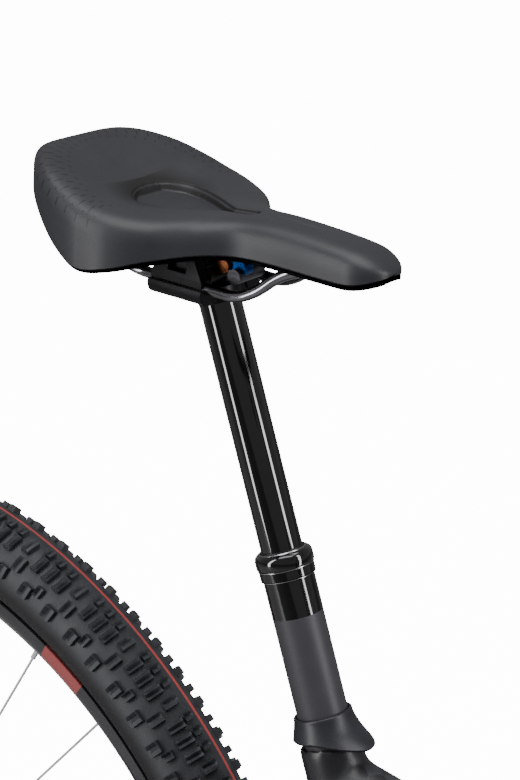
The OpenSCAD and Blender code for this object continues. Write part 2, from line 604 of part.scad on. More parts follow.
module grips() color([0.05, 0.05, 0.05]) on_steerer() both_sides() difference() {
    union() {
        rod(bar_end - grip_len * bar_dir, bar_end + 3 * bar_dir, grip_r);
        rod(bar_end - (grip_len + 1) * bar_dir, bar_end - (grip_len - 9) * bar_dir, grip_r + 1.5);
    }
    rod(bar_end - (grip_len + 5) * bar_dir, bar_end, grip_bar_r + snug);
}
// Brake lever body: a clamp on the bar and a cylinder in front of it.
clamp_at = bar_end - (grip_len + 30) * bar_dir;
lever_pivot = clamp_at + [40, 26, -10];
module brake_bodies() color([0.07, 0.07, 0.08]) on_steerer() both_sides() difference() {
    union() {
        rod(clamp_at - 6 * bar_dir, clamp_at + 6 * bar_dir, 16);
        rod(clamp_at + [30, -34, -8], clamp_at + [32, 22, -8], 9);
        hull() {
            translate(clamp_at + [14, -6, -3]) cube([4, 10, 10], center = true);
            translate(clamp_at + [26, -6, -7]) cube([6, 12, 12], center = true);
        }
        translate(clamp_at + [33, 10, -15]) cube([12, 24, 12]);
    }
    rod(clamp_at - 20 * bar_dir, clamp_at + 20 * bar_dir, grip_bar_r + snug);
    translate(lever_pivot + [-12, -8, -4.2]) cube([40, 40, 8.4]);
    translate(lever_pivot - [0, 0, 20]) cylinder(h = 40, r = 2.6);
}
module lever_blade() difference() {
    union() {
        translate(lever_pivot - [0, 0, 3.5]) cylinder(h = 7, r = 6);
        hull() {
            translate(lever_pivot - [0, 0, 3]) cylinder(h = 6, r = 4.5);
            translate(lever_pivot + [10, 24, -3]) cylinder(h = 6, r = 4.5);
        }
        hull() {
            translate(lever_pivot + [10, 24, -3]) cylinder(h = 6, r = 4.5);
            translate(lever_pivot + [5, 72, -3]) cylinder(h = 6, r = 4.5);
        }
        hull() {
            translate(lever_pivot + [5, 72, -3]) cylinder(h = 6, r = 4.5);
            translate(lever_pivot + [9, 84, -3]) cylinder(h = 6, r = 4.5);
        }
    }
    translate(lever_pivot - [0, 0, 10]) cylinder(h = 20, r = 2.6);
}
module left_brake_lever() color([0.08, 0.08, 0.09]) on_steerer() {
    lever_blade();
    translate(lever_pivot - [0, 0, 9]) cylinder(h = 18, r = 2.5);
}
module right_brake_lever() color([0.08, 0.08, 0.09]) on_steerer() scale([1, -1, 1]) {
    lever_blade();
    translate(lever_pivot - [0, 0, 9]) cylinder(h = 18, r = 2.5);
}
// Dropper remote under the left side and shifter under the right side, inboard of the brakes.
control_at = clamp_at - 24 * bar_dir;
paddle_pivot = control_at + [8, 0, -24];
module control_clamp() difference() {
    union() {
        rod(control_at - 5 * bar_dir, control_at + 5 * bar_dir, 15);
        translate(control_at + [1, -7, -34]) cube([17, 14, 24]);
    }
    rod(control_at - 20 * bar_dir, control_at + 20 * bar_dir, grip_bar_r + snug);
}
module dropper_remote_body() color([0.07, 0.07, 0.07]) on_steerer() difference() {
    control_clamp();
    translate(paddle_pivot + [-14, -30, -4.2]) cube([20.5, 60, 8.4]);
    translate(paddle_pivot - [0, 0, 12]) cylinder(h = 22, r = 3.1);
}
module dropper_paddle() color([0.1, 0.1, 0.1]) on_steerer() {
    translate(paddle_pivot - [0, 0, 9.5]) cylinder(h = 18, r = 3.04);
    hull() {
        translate(paddle_pivot - [0, 0, 3.5]) cylinder(h = 7, r = 6);
        translate(paddle_pivot + [-26, 14, -3.5]) cylinder(h = 7, r = 5);
    }
    hull() {
        translate(paddle_pivot + [-26, 14, -3.5]) cylinder(h = 7, r = 5);
        translate(paddle_pivot + [-34, 32, -5]) cylinder(h = 10, r = 6);
    }
}
shifter_pivot = [control_at.x + 10, -control_at.y, control_at.z - 36];
module shifter_body() color([0.07, 0.07, 0.07]) on_steerer() {
    difference() {
        union() {
            scale([1, -1, 1]) control_clamp();
            translate(shifter_pivot - [0, 0, 4]) cylinder(h = 6, r = 21);
            translate(shifter_pivot - [0, 0, 22.4]) difference() {
                cylinder(h = 20, r = 19);
                translate([0, 0, 3]) cylinder(h = 30, r = 16);
                translate([-41, -40, 3]) cube([40, 80, 30]);
            }
        }
        translate(shifter_pivot - [0, 0, 19.4]) cylinder(h = 21, r = 3.1);
    }
}
module shift_paddle() color([0.1, 0.1, 0.1]) on_steerer() {
    translate(shifter_pivot - [0, 0, 11]) difference() {
        hull() {
            cylinder(h = 6, r = 8);
            translate([-34, -14, 0]) cylinder(h = 6, r = 7);
        }
        translate([0, 0, -1]) cylinder(h = 8, r = 3.1);
    }
    translate(shifter_pivot + [-34, -14, -13]) cylinder(h = 10, r = 7);
}
module release_paddle() color([0.12, 0.12, 0.12]) on_steerer() {
    translate(shifter_pivot - [0, 0, 18.9]) cylinder(h = 20, r = 3.04);
    translate(shifter_pivot - [0, 0, 18.9]) hull() {
        cylinder(h = 4, r = 7);
        translate([-24, 12, 0]) cylinder(h = 4, r = 5);
    }
}
// The three control lines run from their levers to the headset cover.
rear_hose_run = [clamp_at + [30, -34, -8], clamp_at + [33, -68, -11], [80, 95, bar_z - 16], [74, 40, bar_z - 32],
    [52, 10, bar_z - 42], [34, 3, ht_top + 11], [22, 2, ht_top + 10]];
shift_run = [for (p = [control_at + [10, -21, -38], control_at + [16, -50, -37], [80, 100, bar_z - 36], [76, 36, bar_z - 48],
    [54, 10, bar_z - 48], [34, 6, ht_top + 7], [21, 5, ht_top + 7]]) mirror_y(p, -1)];
dropper_run = [control_at + [14, -7, -28], control_at + [20, -40, -32], [86, 100, bar_z - 42], [80, 46, bar_z - 56],
    [56, 16, bar_z - 52], [34, 11, ht_top + 4], [21, 10, ht_top + 4]];
module control_cables() color([0.04, 0.04, 0.04]) on_steerer() {
    sweep(rear_hose_run, 2.5);
    sweep(shift_run, 2);
    sweep(dropper_run, 2);
}
// The front brake's hose, from the right lever down to the left fork leg.
front_hose_run = [[clamp_at.x + 30, -clamp_at.y + 34, clamp_at.z - 8], [clamp_at.x + 36, -clamp_at.y + 74, clamp_at.z - 12],
    [98, -90, bar_z - 10], [110, -10, bar_z - 60], [104, 42, 0], [76, leg_y + 12, -90], [58, leg_y + 22, -150],
    [38, leg_y + 27, -205], [20, leg_y + 25, -270], [2, leg_y + 14, -350], [-8, leg_y - 4, -410],
    [-12, front_rotor_y + 9, axle_z + 96], [-18, front_rotor_y + 7, axle_z + 79.4]];
module front_brake_hose() color([0.04, 0.04, 0.04]) on_steerer() sweep(front_hose_run, 2.5);
module compression_dial() color([0.1, 0.25, 0.5]) on_steerer() translate([leg_x, -leg_y, -9.4]) {
    cylinder(h = 9, r = 11);
    hull() {
        translate([0, 0, 6]) cylinder(h = 3, r = 4);
        translate([-20, 0, 6]) cylinder(h = 3, r = 3);
    }
}

// ---- lower legs ----
module fork_lowers() color([0.08, 0.08, 0.09]) on_steerer() difference() {
    union() {
        both_sides() {
            translate([leg_x, leg_y, axle_z + 26]) cylinder(h = leg_top - axle_z - 26, r = leg_r);
            translate([leg_x, leg_y, axle_z - 16]) cylinder(h = 44, r1 = 14, r2 = leg_r);
            translate([fork_offset, 0, axle_z]) across_from(15, front_hub_half, front_hub_half + 20);
            // arch
            hull() {
                translate([leg_x + 20, leg_y - 12, leg_top - 30]) cube([14, 16, 28]);
                translate([leg_x + 26, leg_y - 26, leg_top + 6]) cube([14, 10, 12]);
            }
            hull() {
                translate([leg_x + 26, leg_y - 26, leg_top + 6]) cube([14, 10, 12]);
                translate([leg_x + 28, -0.5, leg_top + 12]) cube([12, 1, 12]);
            }
        }
        // disc brake posts behind the left leg
        hull() {
            translate([leg_x - 24, front_rotor_y + 16.2, axle_z + 50]) cube([10, 8, 34]);
            translate([leg_x - 8, front_rotor_y + 12, axle_z + 46]) cube([4, 18, 42]);
        }
    }
    both_sides() translate([leg_x, leg_y, leg_top - 330]) cylinder(h = 400, r = stanchion_r + fit);
    translate([fork_offset, 0, axle_z]) across(axle_r + snug, 300);
    translate([fork_offset, 0, axle_z]) across(front_rotor_r + 3, 2 * (front_rotor_y + 2));
    translate([fork_offset, 0, axle_z]) across(12, 2 * front_hub_half + 0.4);
    translate([fork_offset, 0, axle_z]) both_sides() across_from(11, front_hub_half + 20, 100);
}
module front_axle() color([0.15, 0.15, 0.16]) on_steerer() translate([fork_offset, 0, axle_z]) {
    across_from(axle_r, -75, 75);
    difference() {
        across_from(9, -75.05, -80);
        across_from(3, -77, -83, $fn = 6);
    }
}
module front_caliper() color([0.1, 0.1, 0.11]) on_steerer()
    translate(front_caliper_at) rotate([0, 180 + 42, 0]) caliper();
// ---- wheels ----
module rim() color([0.06, 0.06, 0.06]) rotate([90, 0, 0]) rotate_extrude($fn = 96) {
    w = rim_w / 2;
    difference() {
        polygon([[bead_r + 5, -w], [bead_r + 5, -w + 3], [bead_r - 0.5, -w + 3.2], [bead_r - 3, -w + 9], [bead_r - 3, w - 9],
            [bead_r - 0.5, w - 3.2], [bead_r + 5, w - 3], [bead_r + 5, w], [bead_r - 3, w], [rim_in_r, 9], [rim_in_r, -9],
            [bead_r - 3, -w]]);
        polygon([[bead_r - 5, -w + 8], [bead_r - 5, w - 8], [rim_in_r + 2, 7], [rim_in_r + 2, -7]]);
    }
}
module tyre() color([0.05, 0.05, 0.05]) rotate([90, 0, 0]) rotate_extrude($fn = 96) difference() {
    translate([tyre_mid_r, 0]) circle(r = tyre_w / 2);
    translate([tyre_mid_r, 0]) circle(r = tyre_w / 2 - tyre_wall);
    translate([bead_r - 20, -rim_w / 2 - 0.3]) square([25.4, rim_w + 0.6]);
}
// One spoke from its flange to the rim. Leading and trailing spokes lie to either side of the flange.
module spoke(flange_r, flange_y, i, side) {
    n = spokes / 2;
    lead = i % 2 == 0 ? 1 : -1;
    at_rim = (i + (side > 0 ? 0 : 0.5)) * 360 / n;
    at_hub = at_rim + lead * 2 * 360 / n;
    dy = lead * (spoke_r + 0.35);
    hub_end = [flange_r * cos(at_hub), flange_y + dy, flange_r * sin(at_hub)];
    rim_end = [(rim_in_r + 1) * cos(at_rim), side * 3 + dy, (rim_in_r + 1) * sin(at_rim)];
    reach = norm(rim_end - hub_end);
    turned(hub_end, rim_end, [[spoke_r, 0], [spoke_r, reach - 13], [spoke_r + 0.9, reach - 13], [spoke_r + 0.9, reach]]);
}
module spoke_set(flange_r, flange_y) color([0.75, 0.75, 0.76])
    for (side = [1, -1]) for (i = [0 : spokes / 2 - 1]) spoke(flange_r, side > 0 ? flange_y[0] : flange_y[1], i, side);
module hub(half, flange_r, flange_y, rotor_y) difference() {
    union() {
        across_from(17, flange_y[1], flange_y[0]);
        for (y = flange_y) across_from(flange_r + 4, y - 3, y + 3);
        across_from(23, flange_y[0], rotor_y - rotor_t / 2 - snug);
        across_from(16.5, flange_y[0], rotor_y + 5);
        across_from(10, flange_y[0], half);
        across_from(10, flange_y[1], -half);
    }
    across(axle_r + snug, 300);
}
module front_hub() color([0.1, 0.1, 0.1]) translate(front_axle_at)
    hub(front_hub_half, front_flange_r, front_flange_y, front_rotor_y);
module rear_hub() color([0.1, 0.1, 0.1]) translate(rear_axle_at)
    hub(rear_hub_half, rear_flange_r, rear_flange_y, rear_rotor_y);
module rotor(r) color([0.7, 0.7, 0.72]) rotate([90, 0, 0]) linear_extrude(rotor_t, center = true) difference() {
    union() {
        difference() {
            circle(r = r);
            circle(r = r - 14);
        }
        circle(r = 28);
        for (a = [0 : 60 : 300]) rotate(a) translate([14, 18]) rotate(-18) square([7, r - 28]);
    }
    circle(r = 16.6);
    for (a = [0 : 15 : 345]) rotate(a) translate([r - 7 + 2 * cos(a * 4), 0]) circle(r = 2.4);
}
module front_rotor() translate(front_axle_at + [0, front_rotor_y, 0]) rotor(front_rotor_r);
module rear_rotor() translate(rear_axle_at + [0, rear_rotor_y, 0]) rotor(rear_rotor_r);

// ---- drivetrain ----
// A toothed disc in the plane y = 0.
module sprocket(teeth, t, bore_r) {
    r = gear_r(teeth);
    difference() {
        rotate([90, 0, 0]) linear_extrude(t, center = true) polygon([for (i = [0 : teeth - 1])
            for (s = [[-0.5, r - 3.9], [-0.24, r - 3.9], [-0.1, r + 2.4], [0.1, r + 2.4], [0.24, r - 3.9]])
                let (a = 360 * (i + 0.5 + s[0]) / teeth) [s[1] * cos(a), s[1] * sin(a)]]);
        across(bore_r, t + 2);
    }
}
module cassette() color([0.5, 0.5, 0.52]) translate(rear_axle_at) {
    difference() {
        union() {
            for (i = [0 : len(cog_teeth) - 1]) translate([0, cog_y0 - i * cog_gap, 0]) sprocket(cog_teeth[i], cog_t, 12);
            across_from(17, cog_y0 + 1, cog_y0 - 10.2 * cog_gap);
            across_from(15, cog_y0 - 10 * cog_gap, cog_y0 - 11 * cog_gap - 1);
        }
        across(10 + fit, 300);
        // windows through the four largest cogs
        for (a = [0 : 30 : 330]) rotate([0, a, 0]) translate([72, 0, 0]) across_from(12, cog_y0 + 5, cog_y0 - 1.5 * cog_gap);
        for (a = [0 : 30 : 330]) rotate([0, a + 15, 0]) translate([44, 0, 0]) across_from(7, cog_y0 + 5, cog_y0 - 3.5 * cog_gap);
    }
}
// Chain: its two rows of side plates, along the loop.
chain_gap = 1.25;
plate_t = 1.1;
ring_r = gear_r(ring_teeth);
cog_r = gear_r(cog_teeth[cog_used]);
guide_r = gear_r(guide_teeth);
tension_r = gear_r(tension_teeth);
// Tangent points of a straight run between two wheels: side 1 is the left of the direction of travel.
function run_angle(a, ra, b, rb, sa, sb) = let (d = b - a, l = norm(d), base = atan2(d.y, d.x))
    base - asin((sa * ra - sb * rb) / l);
function run(a, ra, b, rb, sa, sb) = let (t = run_angle(a, ra, b, rb, sa, sb), n = [-sin(t), cos(t)])
    [a + sa * ra * n, b + sb * rb * n];
function xz(p) = [p.x, p.z];
chain_ring_c = xz(bb_at);
chain_cog_c = xz(rear_axle_at);
chain_guide_c = xz(guide_at);
chain_tension_c = xz(tension_at);
upper_run = run(chain_cog_c, cog_r, chain_ring_c, ring_r, 1, 1);
lower_run = run(chain_ring_c, ring_r, chain_tension_c, tension_r, 1, 1);
cage_run = run(chain_tension_c, tension_r, chain_guide_c, guide_r, 1, -1);
cog_run = run(chain_guide_c, guide_r, chain_cog_c, cog_r, -1, 1);
function arc_points(c, r, from, to, ccw, n = 10) = let (a = atan2(from.y - c.y, from.x - c.x), b0 = atan2(to.y - c.y, to.x - c.x),
        b = ccw ? (b0 < a ? b0 + 360 : b0) : (b0 > a ? b0 - 360 : b0))
    [for (i = [0 : n]) let (t = a + (b - a) * i / n) c + r * [cos(t), sin(t)]];
chain_path = concat(
    arc_points(chain_ring_c, ring_r, upper_run[1], lower_run[0], false, 16),
    arc_points(chain_tension_c, tension_r, lower_run[1], cage_run[0], false),
    arc_points(chain_guide_c, guide_r, cage_run[1], cog_run[0], true),
    arc_points(chain_cog_c, cog_r, cog_run[1], upper_run[0], false, 14));
module chain_band(grow) polygon(concat(
    [for (i = [0 : len(chain_path) - 1]) chain_edge(i, grow)]));
function chain_edge(i, grow) = let (m = len(chain_path), a = chain_path[(i + m - 1) % m], b = chain_path[(i + 1) % m], t = unit(b - a))
    chain_path[i] + grow * [-t.y, t.x];
module chain() color([0.55, 0.55, 0.56]) for (s = [1, -1])
    translate([0, -chainline + s * (chain_gap + plate_t / 2), 0]) rotate([90, 0, 0]) linear_extrude(plate_t, center = true) difference() {
        chain_band(3.6);
        chain_band(-3.6);
    }
module crank_arm() {
    hull() {
        across(18, crank_t);
        translate([crank_len * 0.55, 3, 0]) across(13, crank_t - 2);
    }
    hull() {
        translate([crank_len * 0.55, 3, 0]) across(13, crank_t - 2);
        translate([crank_len, 5, 0]) across(13, crank_t - 1);
    }
}
pedal_y = crank_y + 5;
module crankset() color([0.07, 0.07, 0.08]) translate(bb_at) {
    difference() {
        union() {
            // the right arm points forward and carries the spindle
            translate([0, -crank_y, 0]) scale([1, -1, 1]) crank_arm();
            across_from(spindle_r, -crank_y, crank_y - 8);
            across_from(22, -crank_y + 6, -chainline - 1 - fit);
        }
        across_from(9, -crank_y + 3, 100);
    }
    difference() {
        translate([0, crank_y, 0]) rotate([0, 180, 0]) crank_arm();
        across_from(spindle_r + snug, 0, crank_y - 8 + snug);
    }
    // pedal axles
    for (s = [1, -1]) translate([-s * crank_len, 0, 0]) {
        across_from(7, s * (pedal_y + 7), s * (pedal_y + 12));
        across_from(4, s * (pedal_y + 12), s * (pedal_y + 108));
    }
}
module chainring() color([0.1, 0.1, 0.1]) translate(bb_at + [0, -chainline, 0]) difference() {
    union() {
        difference() {
            sprocket(ring_teeth, 1.9, spindle_r + fit);
            for (a = [0 : 45 : 315]) rotate([0, a + 10, 0]) translate([ring_r - 22, 0, 0]) across(10, 10);
        }
        across_from(22, 2.5, -1);
    }
    across(spindle_r + fit, 20);
}
module pedal() difference() {
    union() {
        translate([0, 54, 0]) cube([92, 16, 15], center = true);
        for (y = [16, 96]) translate([0, y, 0]) cube([80, 10, 15], center = true);
        for (x = [-44, 44]) translate([x, 56, 0]) cube([10, 86, 14], center = true);
        across_from(9.5, 3, 108);
        for (x = [-44, 44]) for (y = [20, 56, 92]) for (z = [-1, 1])
            translate([x, y, z * 9]) cylinder(h = 6, r = 1.6, center = true);
    }
    across_from(4 + fit, -5, 100);
}
module left_pedal() color([0.08, 0.08, 0.08]) translate(bb_at + [-crank_len, pedal_y + 10, 0]) pedal();
module right_pedal() color([0.08, 0.08, 0.08]) translate(bb_at + [crank_len, -pedal_y - 10, 0]) scale([1, -1, 1]) pedal();

// ---- derailleur ----
link_end = p_pivot_at + [-2, -2, 20];
module derailleur_linkage() color([0.1, 0.1, 0.11]) difference() {
    hull() {
        translate(b_pivot_at + [2, -8, -17]) sphere(r = 6, $fn = 24);
        translate(link_end) sphere(r = 6, $fn = 24);
        translate((b_pivot_at + link_end) / 2 + [-8, -12, -6]) sphere(r = 7, $fn = 24);
    }
    translate(b_pivot_at) across(11, 60);
    rod(b_pivot_at + [0, -8, 0] + 20 * shift_axis, b_pivot_at + [0, -8, 0] - 20 * shift_axis, 7);
    translate(p_pivot_at) across(16, 60);
}
module derailleur_knuckle() color([0.1, 0.1, 0.11]) translate([guide_at.x, 0, guide_at.z]) {
    across_from(14, guide_at.y - 8.2, guide_at.y - 33);
    across_from(2.5, guide_at.y - 8.3, guide_at.y + 6.6);
}
module cage_plate(y) hull() {
    translate([guide_at.x, y, guide_at.z]) across(14, 2);
    translate([tension_at.x, y, tension_at.z]) across(13, 2);
}
module derailleur_cage() color([0.12, 0.12, 0.12]) {
    difference() {
        union() {
            cage_plate(guide_at.y - 6.8);
            cage_plate(guide_at.y + 5.6);
        }
        cage_window(guide_at.y);
        translate(guide_at) across(2.55, 40);
    }
    translate(tension_at) across_from(2.5, -6.8, 5.6);
}
module cage_window(y) hull() for (k = [0.32, 0.68])
    translate([guide_at.x + (tension_at.x - guide_at.x) * k, y, guide_at.z + (tension_at.z - guide_at.z) * k]) across(8, 40);
module guide_pulley() color([0.08, 0.08, 0.08]) translate(guide_at) sprocket(guide_teeth, 2.1, 2.5 + fit);
module tension_pulley() color([0.08, 0.08, 0.08]) translate(tension_at) sprocket(tension_teeth, 2.1, 2.5 + fit);

frame();
rear_stays();
seat_clamp_cover();
top_tube();
frame_bearings();
rear_axle();
dropper_outer_tube();
dropper_collar();
rear_caliper();
rear_cables();
derailleur_base();
dropper_stanchion();
seat_head();
rail_clamp();
saddle_rails();
saddle_shell();
saddle_cover();
crown_and_steerer();
fork_stanchions();
headset_cover();
stem();
stem_faceplate();
stem_bolts();
handlebar();
grips();
brake_bodies();
dropper_remote_body();
shifter_body();
control_cables();
front_brake_hose();
left_brake_lever();
right_brake_lever();
dropper_paddle();
shift_paddle();
release_paddle();
compression_dial();
fork_lowers();
front_axle();
front_caliper();
translate(front_axle_at) rim();  // front_rim
translate(front_axle_at) tyre();  // front_tyre
translate(front_axle_at) spoke_set(front_flange_r, front_flange_y);  // front_spokes
front_hub();
front_rotor();
translate(rear_axle_at) rim();  // rear_rim
translate(rear_axle_at) tyre();  // rear_tyre
translate(rear_axle_at) spoke_set(rear_flange_r, rear_flange_y);  // rear_spokes
rear_hub();
rear_rotor();
cassette();
chain();
crankset();
chainring();
left_pedal();
right_pedal();
derailleur_linkage();
derailleur_knuckle();
derailleur_cage();
guide_pulley();
tension_pulley();
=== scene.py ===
import json
import math

import bpy
from mathutils import Matrix, Vector


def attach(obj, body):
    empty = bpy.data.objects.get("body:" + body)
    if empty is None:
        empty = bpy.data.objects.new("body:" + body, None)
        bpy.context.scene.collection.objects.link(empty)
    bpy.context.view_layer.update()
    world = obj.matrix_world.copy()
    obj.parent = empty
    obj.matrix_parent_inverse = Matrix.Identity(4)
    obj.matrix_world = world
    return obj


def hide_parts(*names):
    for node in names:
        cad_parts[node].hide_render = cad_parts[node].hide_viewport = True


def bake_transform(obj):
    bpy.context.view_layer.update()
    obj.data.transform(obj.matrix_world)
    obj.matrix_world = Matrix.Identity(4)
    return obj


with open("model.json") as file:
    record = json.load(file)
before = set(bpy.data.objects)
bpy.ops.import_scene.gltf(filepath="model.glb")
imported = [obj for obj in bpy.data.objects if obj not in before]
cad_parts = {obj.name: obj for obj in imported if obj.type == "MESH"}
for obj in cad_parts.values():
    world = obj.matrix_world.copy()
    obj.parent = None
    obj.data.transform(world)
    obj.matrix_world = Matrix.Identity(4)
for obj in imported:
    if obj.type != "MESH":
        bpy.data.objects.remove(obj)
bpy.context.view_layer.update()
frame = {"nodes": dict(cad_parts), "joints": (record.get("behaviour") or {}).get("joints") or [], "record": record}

mm = 0.001


def jointPlace(name):
    return Vector(next(j for j in frame["joints"] if j["name"] == name)["pos_m"])


postMount = next(m for m in frame["record"]["mounts"] if m["name"] == "post_clamp_zone")
post = {"mountUp": 58, "sliderTop": 279}   # heights above the seat tube's top, along the post
saddle = {
    "railsAbovePost": 11.5, "tilt": 2.5, "length": 248, "width": 146, "tail": 121,
    "rearRound": 0.31, "noseRound": 0.09, "padThickness": 13,
    # share of the length, share of the half width, heights of middle, shoulder and lower edge above the rails
    "stations": [
        (0.00, 1.00, 61.5, 61.0, 54.0), (0.06, 1.00, 66.0, 66.5, 48.0), (0.15, 1.00, 59.0, 64.0, 35.0),
        (0.24, 1.00, 49.5, 58.5, 19.0), (0.31, 1.00, 43.0, 53.5, 11.5), (0.39, 0.95, 42.0, 49.0, 14.5),
        (0.47, 0.79, 42.5, 46.0, 20.5), (0.54, 0.52, 43.5, 44.5, 23.5), (0.61, 0.36, 45.0, 45.5, 25.0),
        (0.70, 0.31, 46.0, 46.0, 25.5), (0.85, 0.29, 44.0, 44.0, 24.5), (0.93, 0.28, 41.5, 41.5, 24.5),
        (1.00, 0.27, 37.0, 37.0, 27.0)],
}
postUp = Vector(postMount["axis"]).normalized()
postAhead = Vector((postUp.z, 0, -postUp.x))
seatTop = Vector(postMount["pos_m"]) - post["mountUp"] * mm * postUp
railCentre = seatTop + (post["sliderTop"] + saddle["railsAbovePost"]) * mm * postUp
tilt = math.radians(saddle["tilt"])


def axesMatrix(origin, xAxis, zAxis):
    yAxis = zAxis.cross(xAxis)
    turn = Matrix((xAxis, yAxis, zAxis)).transposed().to_4x4()
    return Matrix.Translation(origin) @ turn @ Matrix.Scale(mm, 4)


postPlace = axesMatrix(seatTop, postAhead, postUp)
saddleAhead = Vector((math.cos(tilt), 0, -math.sin(tilt)))
railPlace = axesMatrix(railCentre, saddleAhead, Vector((math.sin(tilt), 0, math.cos(tilt))))
rearCentre = jointPlace("rear_wheel_spin")
frontCentre = jointPlace("front_wheel_spin")


def wheelPlace(centre):   # local z runs along the axle, to the rider's left
    return Matrix.Translation(centre) @ Matrix.Rotation(math.radians(-90), 4, "X") @ Matrix.Scale(mm, 4)


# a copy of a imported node's mesh, free to change
def copyPart(name, node):
    piece = bpy.data.objects.new(name, frame["nodes"][node].data.copy())
    bpy.context.collection.objects.link(piece)
    return piece


def deselectAll():
    if bpy.context.object and bpy.context.object.mode != "OBJECT":
        bpy.ops.object.mode_set(mode="OBJECT")
    bpy.ops.object.select_all(action="DESELECT")


def activate(piece):
    deselectAll()
    piece.select_set(True)
    bpy.context.view_layer.objects.active = piece


def startEdit(kind="VERT"):
    bpy.ops.object.mode_set(mode="EDIT")
    bpy.ops.mesh.select_mode(type=kind)


def addModifier(piece, kind, **settings):
    activate(piece)
    modifier = piece.modifiers.new(kind.lower(), kind)
    for name, value in settings.items():
        setattr(modifier, name, value)
    bpy.ops.object.modifier_apply(modifier=modifier.name)


# joins loose points, turns the faces outwards and puts the piece in its place
def finishPiece(piece, name, place, body, materials, replaced=(), angle=35, merge=0.001,
                turnFaces=True):
    activate(piece)
    piece.name = piece.data.name = name
    startEdit()
    bpy.ops.mesh.select_all(action="SELECT")
    bpy.ops.mesh.remove_doubles(threshold=merge)
    if turnFaces:
        bpy.ops.mesh.normals_make_consistent(inside=False)
    bpy.ops.object.mode_set(mode="OBJECT")
    piece.data.transform(place)
    if not piece.data.materials:
        for material in materials:
            piece.data.materials.append(material)
    bpy.ops.object.shade_smooth_by_angle(angle=math.radians(angle))
    if body:
        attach(piece, body)
    if replaced:
        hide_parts(*replaced)
    return piece


# a turned piece: a circle extruded and scaled along its outline of (radius, height) pairs
def turnOutline(outline, sides=96, closed=False):
    deselectAll()
    radius, height = outline[0]
    bpy.ops.mesh.primitive_circle_add(vertices=sides, radius=radius)
    piece = bpy.context.object
    startEdit("EDGE")
    bpy.ops.mesh.select_all(action="SELECT")
    bpy.ops.transform.translate(value=(0, 0, height))
    rows = list(outline[1:]) + ([outline[0]] if closed else [])
    for nextRadius, nextHeight in rows:
        bpy.ops.mesh.extrude_region_move(TRANSFORM_OT_translate={"value": (0, 0, nextHeight - height)})
        scale = nextRadius / radius
        bpy.ops.transform.resize(value=(scale, scale, 1), center_override=(0, 0, nextHeight))
        radius, height = nextRadius, nextHeight
    bpy.ops.object.mode_set(mode="OBJECT")
    return piece


def joinPieces(pieces):
    deselectAll()
    for piece in pieces:
        piece.select_set(True)
    bpy.context.view_layer.objects.active = pieces[0]
    bpy.ops.object.join()
    return bpy.context.object


# one copy of the source for every matrix, joined into one piece
def copiesOf(source, places):
    copies = []
    for place in places:
        copy = bpy.data.objects.new(source.name, source.data.copy())
        bpy.context.collection.objects.link(copy)
        copy.data.transform(place)
        copies.append(copy)
    bpy.data.objects.remove(source)
    return joinPieces(copies)


# a round rod that bends through its points
def bendRod(points, radius, bevelSteps=4, pathSteps=10):
    curve = bpy.data.curves.new("rod", "CURVE")
    curve.dimensions = "3D"
    curve.bevel_depth = radius
    curve.bevel_resolution = bevelSteps
    curve.resolution_u = pathSteps
    curve.use_fill_caps = True
    spline = curve.splines.new("BEZIER")
    spline.bezier_points.add(len(points) - 1)
    for target, point in zip(spline.bezier_points, points):
        target.co = point
        target.handle_left_type = target.handle_right_type = "AUTO"
    rod = bpy.data.objects.new("rod", curve)
    bpy.context.collection.objects.link(rod)
    activate(rod)
    bpy.ops.object.convert(target="MESH")
    return bpy.context.object


def hexToLinear(code):
    channels = [int(code[i:i + 2], 16) / 255 for i in (1, 3, 5)]
    return tuple(c / 12.92 if c <= 0.04045 else ((c + 0.055) / 1.055) ** 2.4 for c in channels) + (1.0,)


multiply, subtract, divide = ({"operation": name} for name in ("MULTIPLY", "SUBTRACT", "DIVIDE"))
larger, compare = ({"operation": name} for name in ("MAXIMUM", "COMPARE"))


# each input is a value, a socket or a node, by name or in the node's own order
def addNode(tree, kind, settings=None, inputs=()):
    node = tree.nodes.new("ShaderNode" + kind)
    for name, value in (settings or {}).items():
        setattr(node, name, value)
    for name, value in inputs.items() if isinstance(inputs, dict) else enumerate(inputs):
        if isinstance(value, bpy.types.Node):
            value = value.outputs[0]
        if isinstance(value, bpy.types.NodeSocket):
            tree.links.new(value, node.inputs[name])
        else:
            node.inputs[name].default_value = value
    return node


noiseSpan = (0.3, 0.7)   # where nearly all of a noise's values lie
grainShare = 0.35


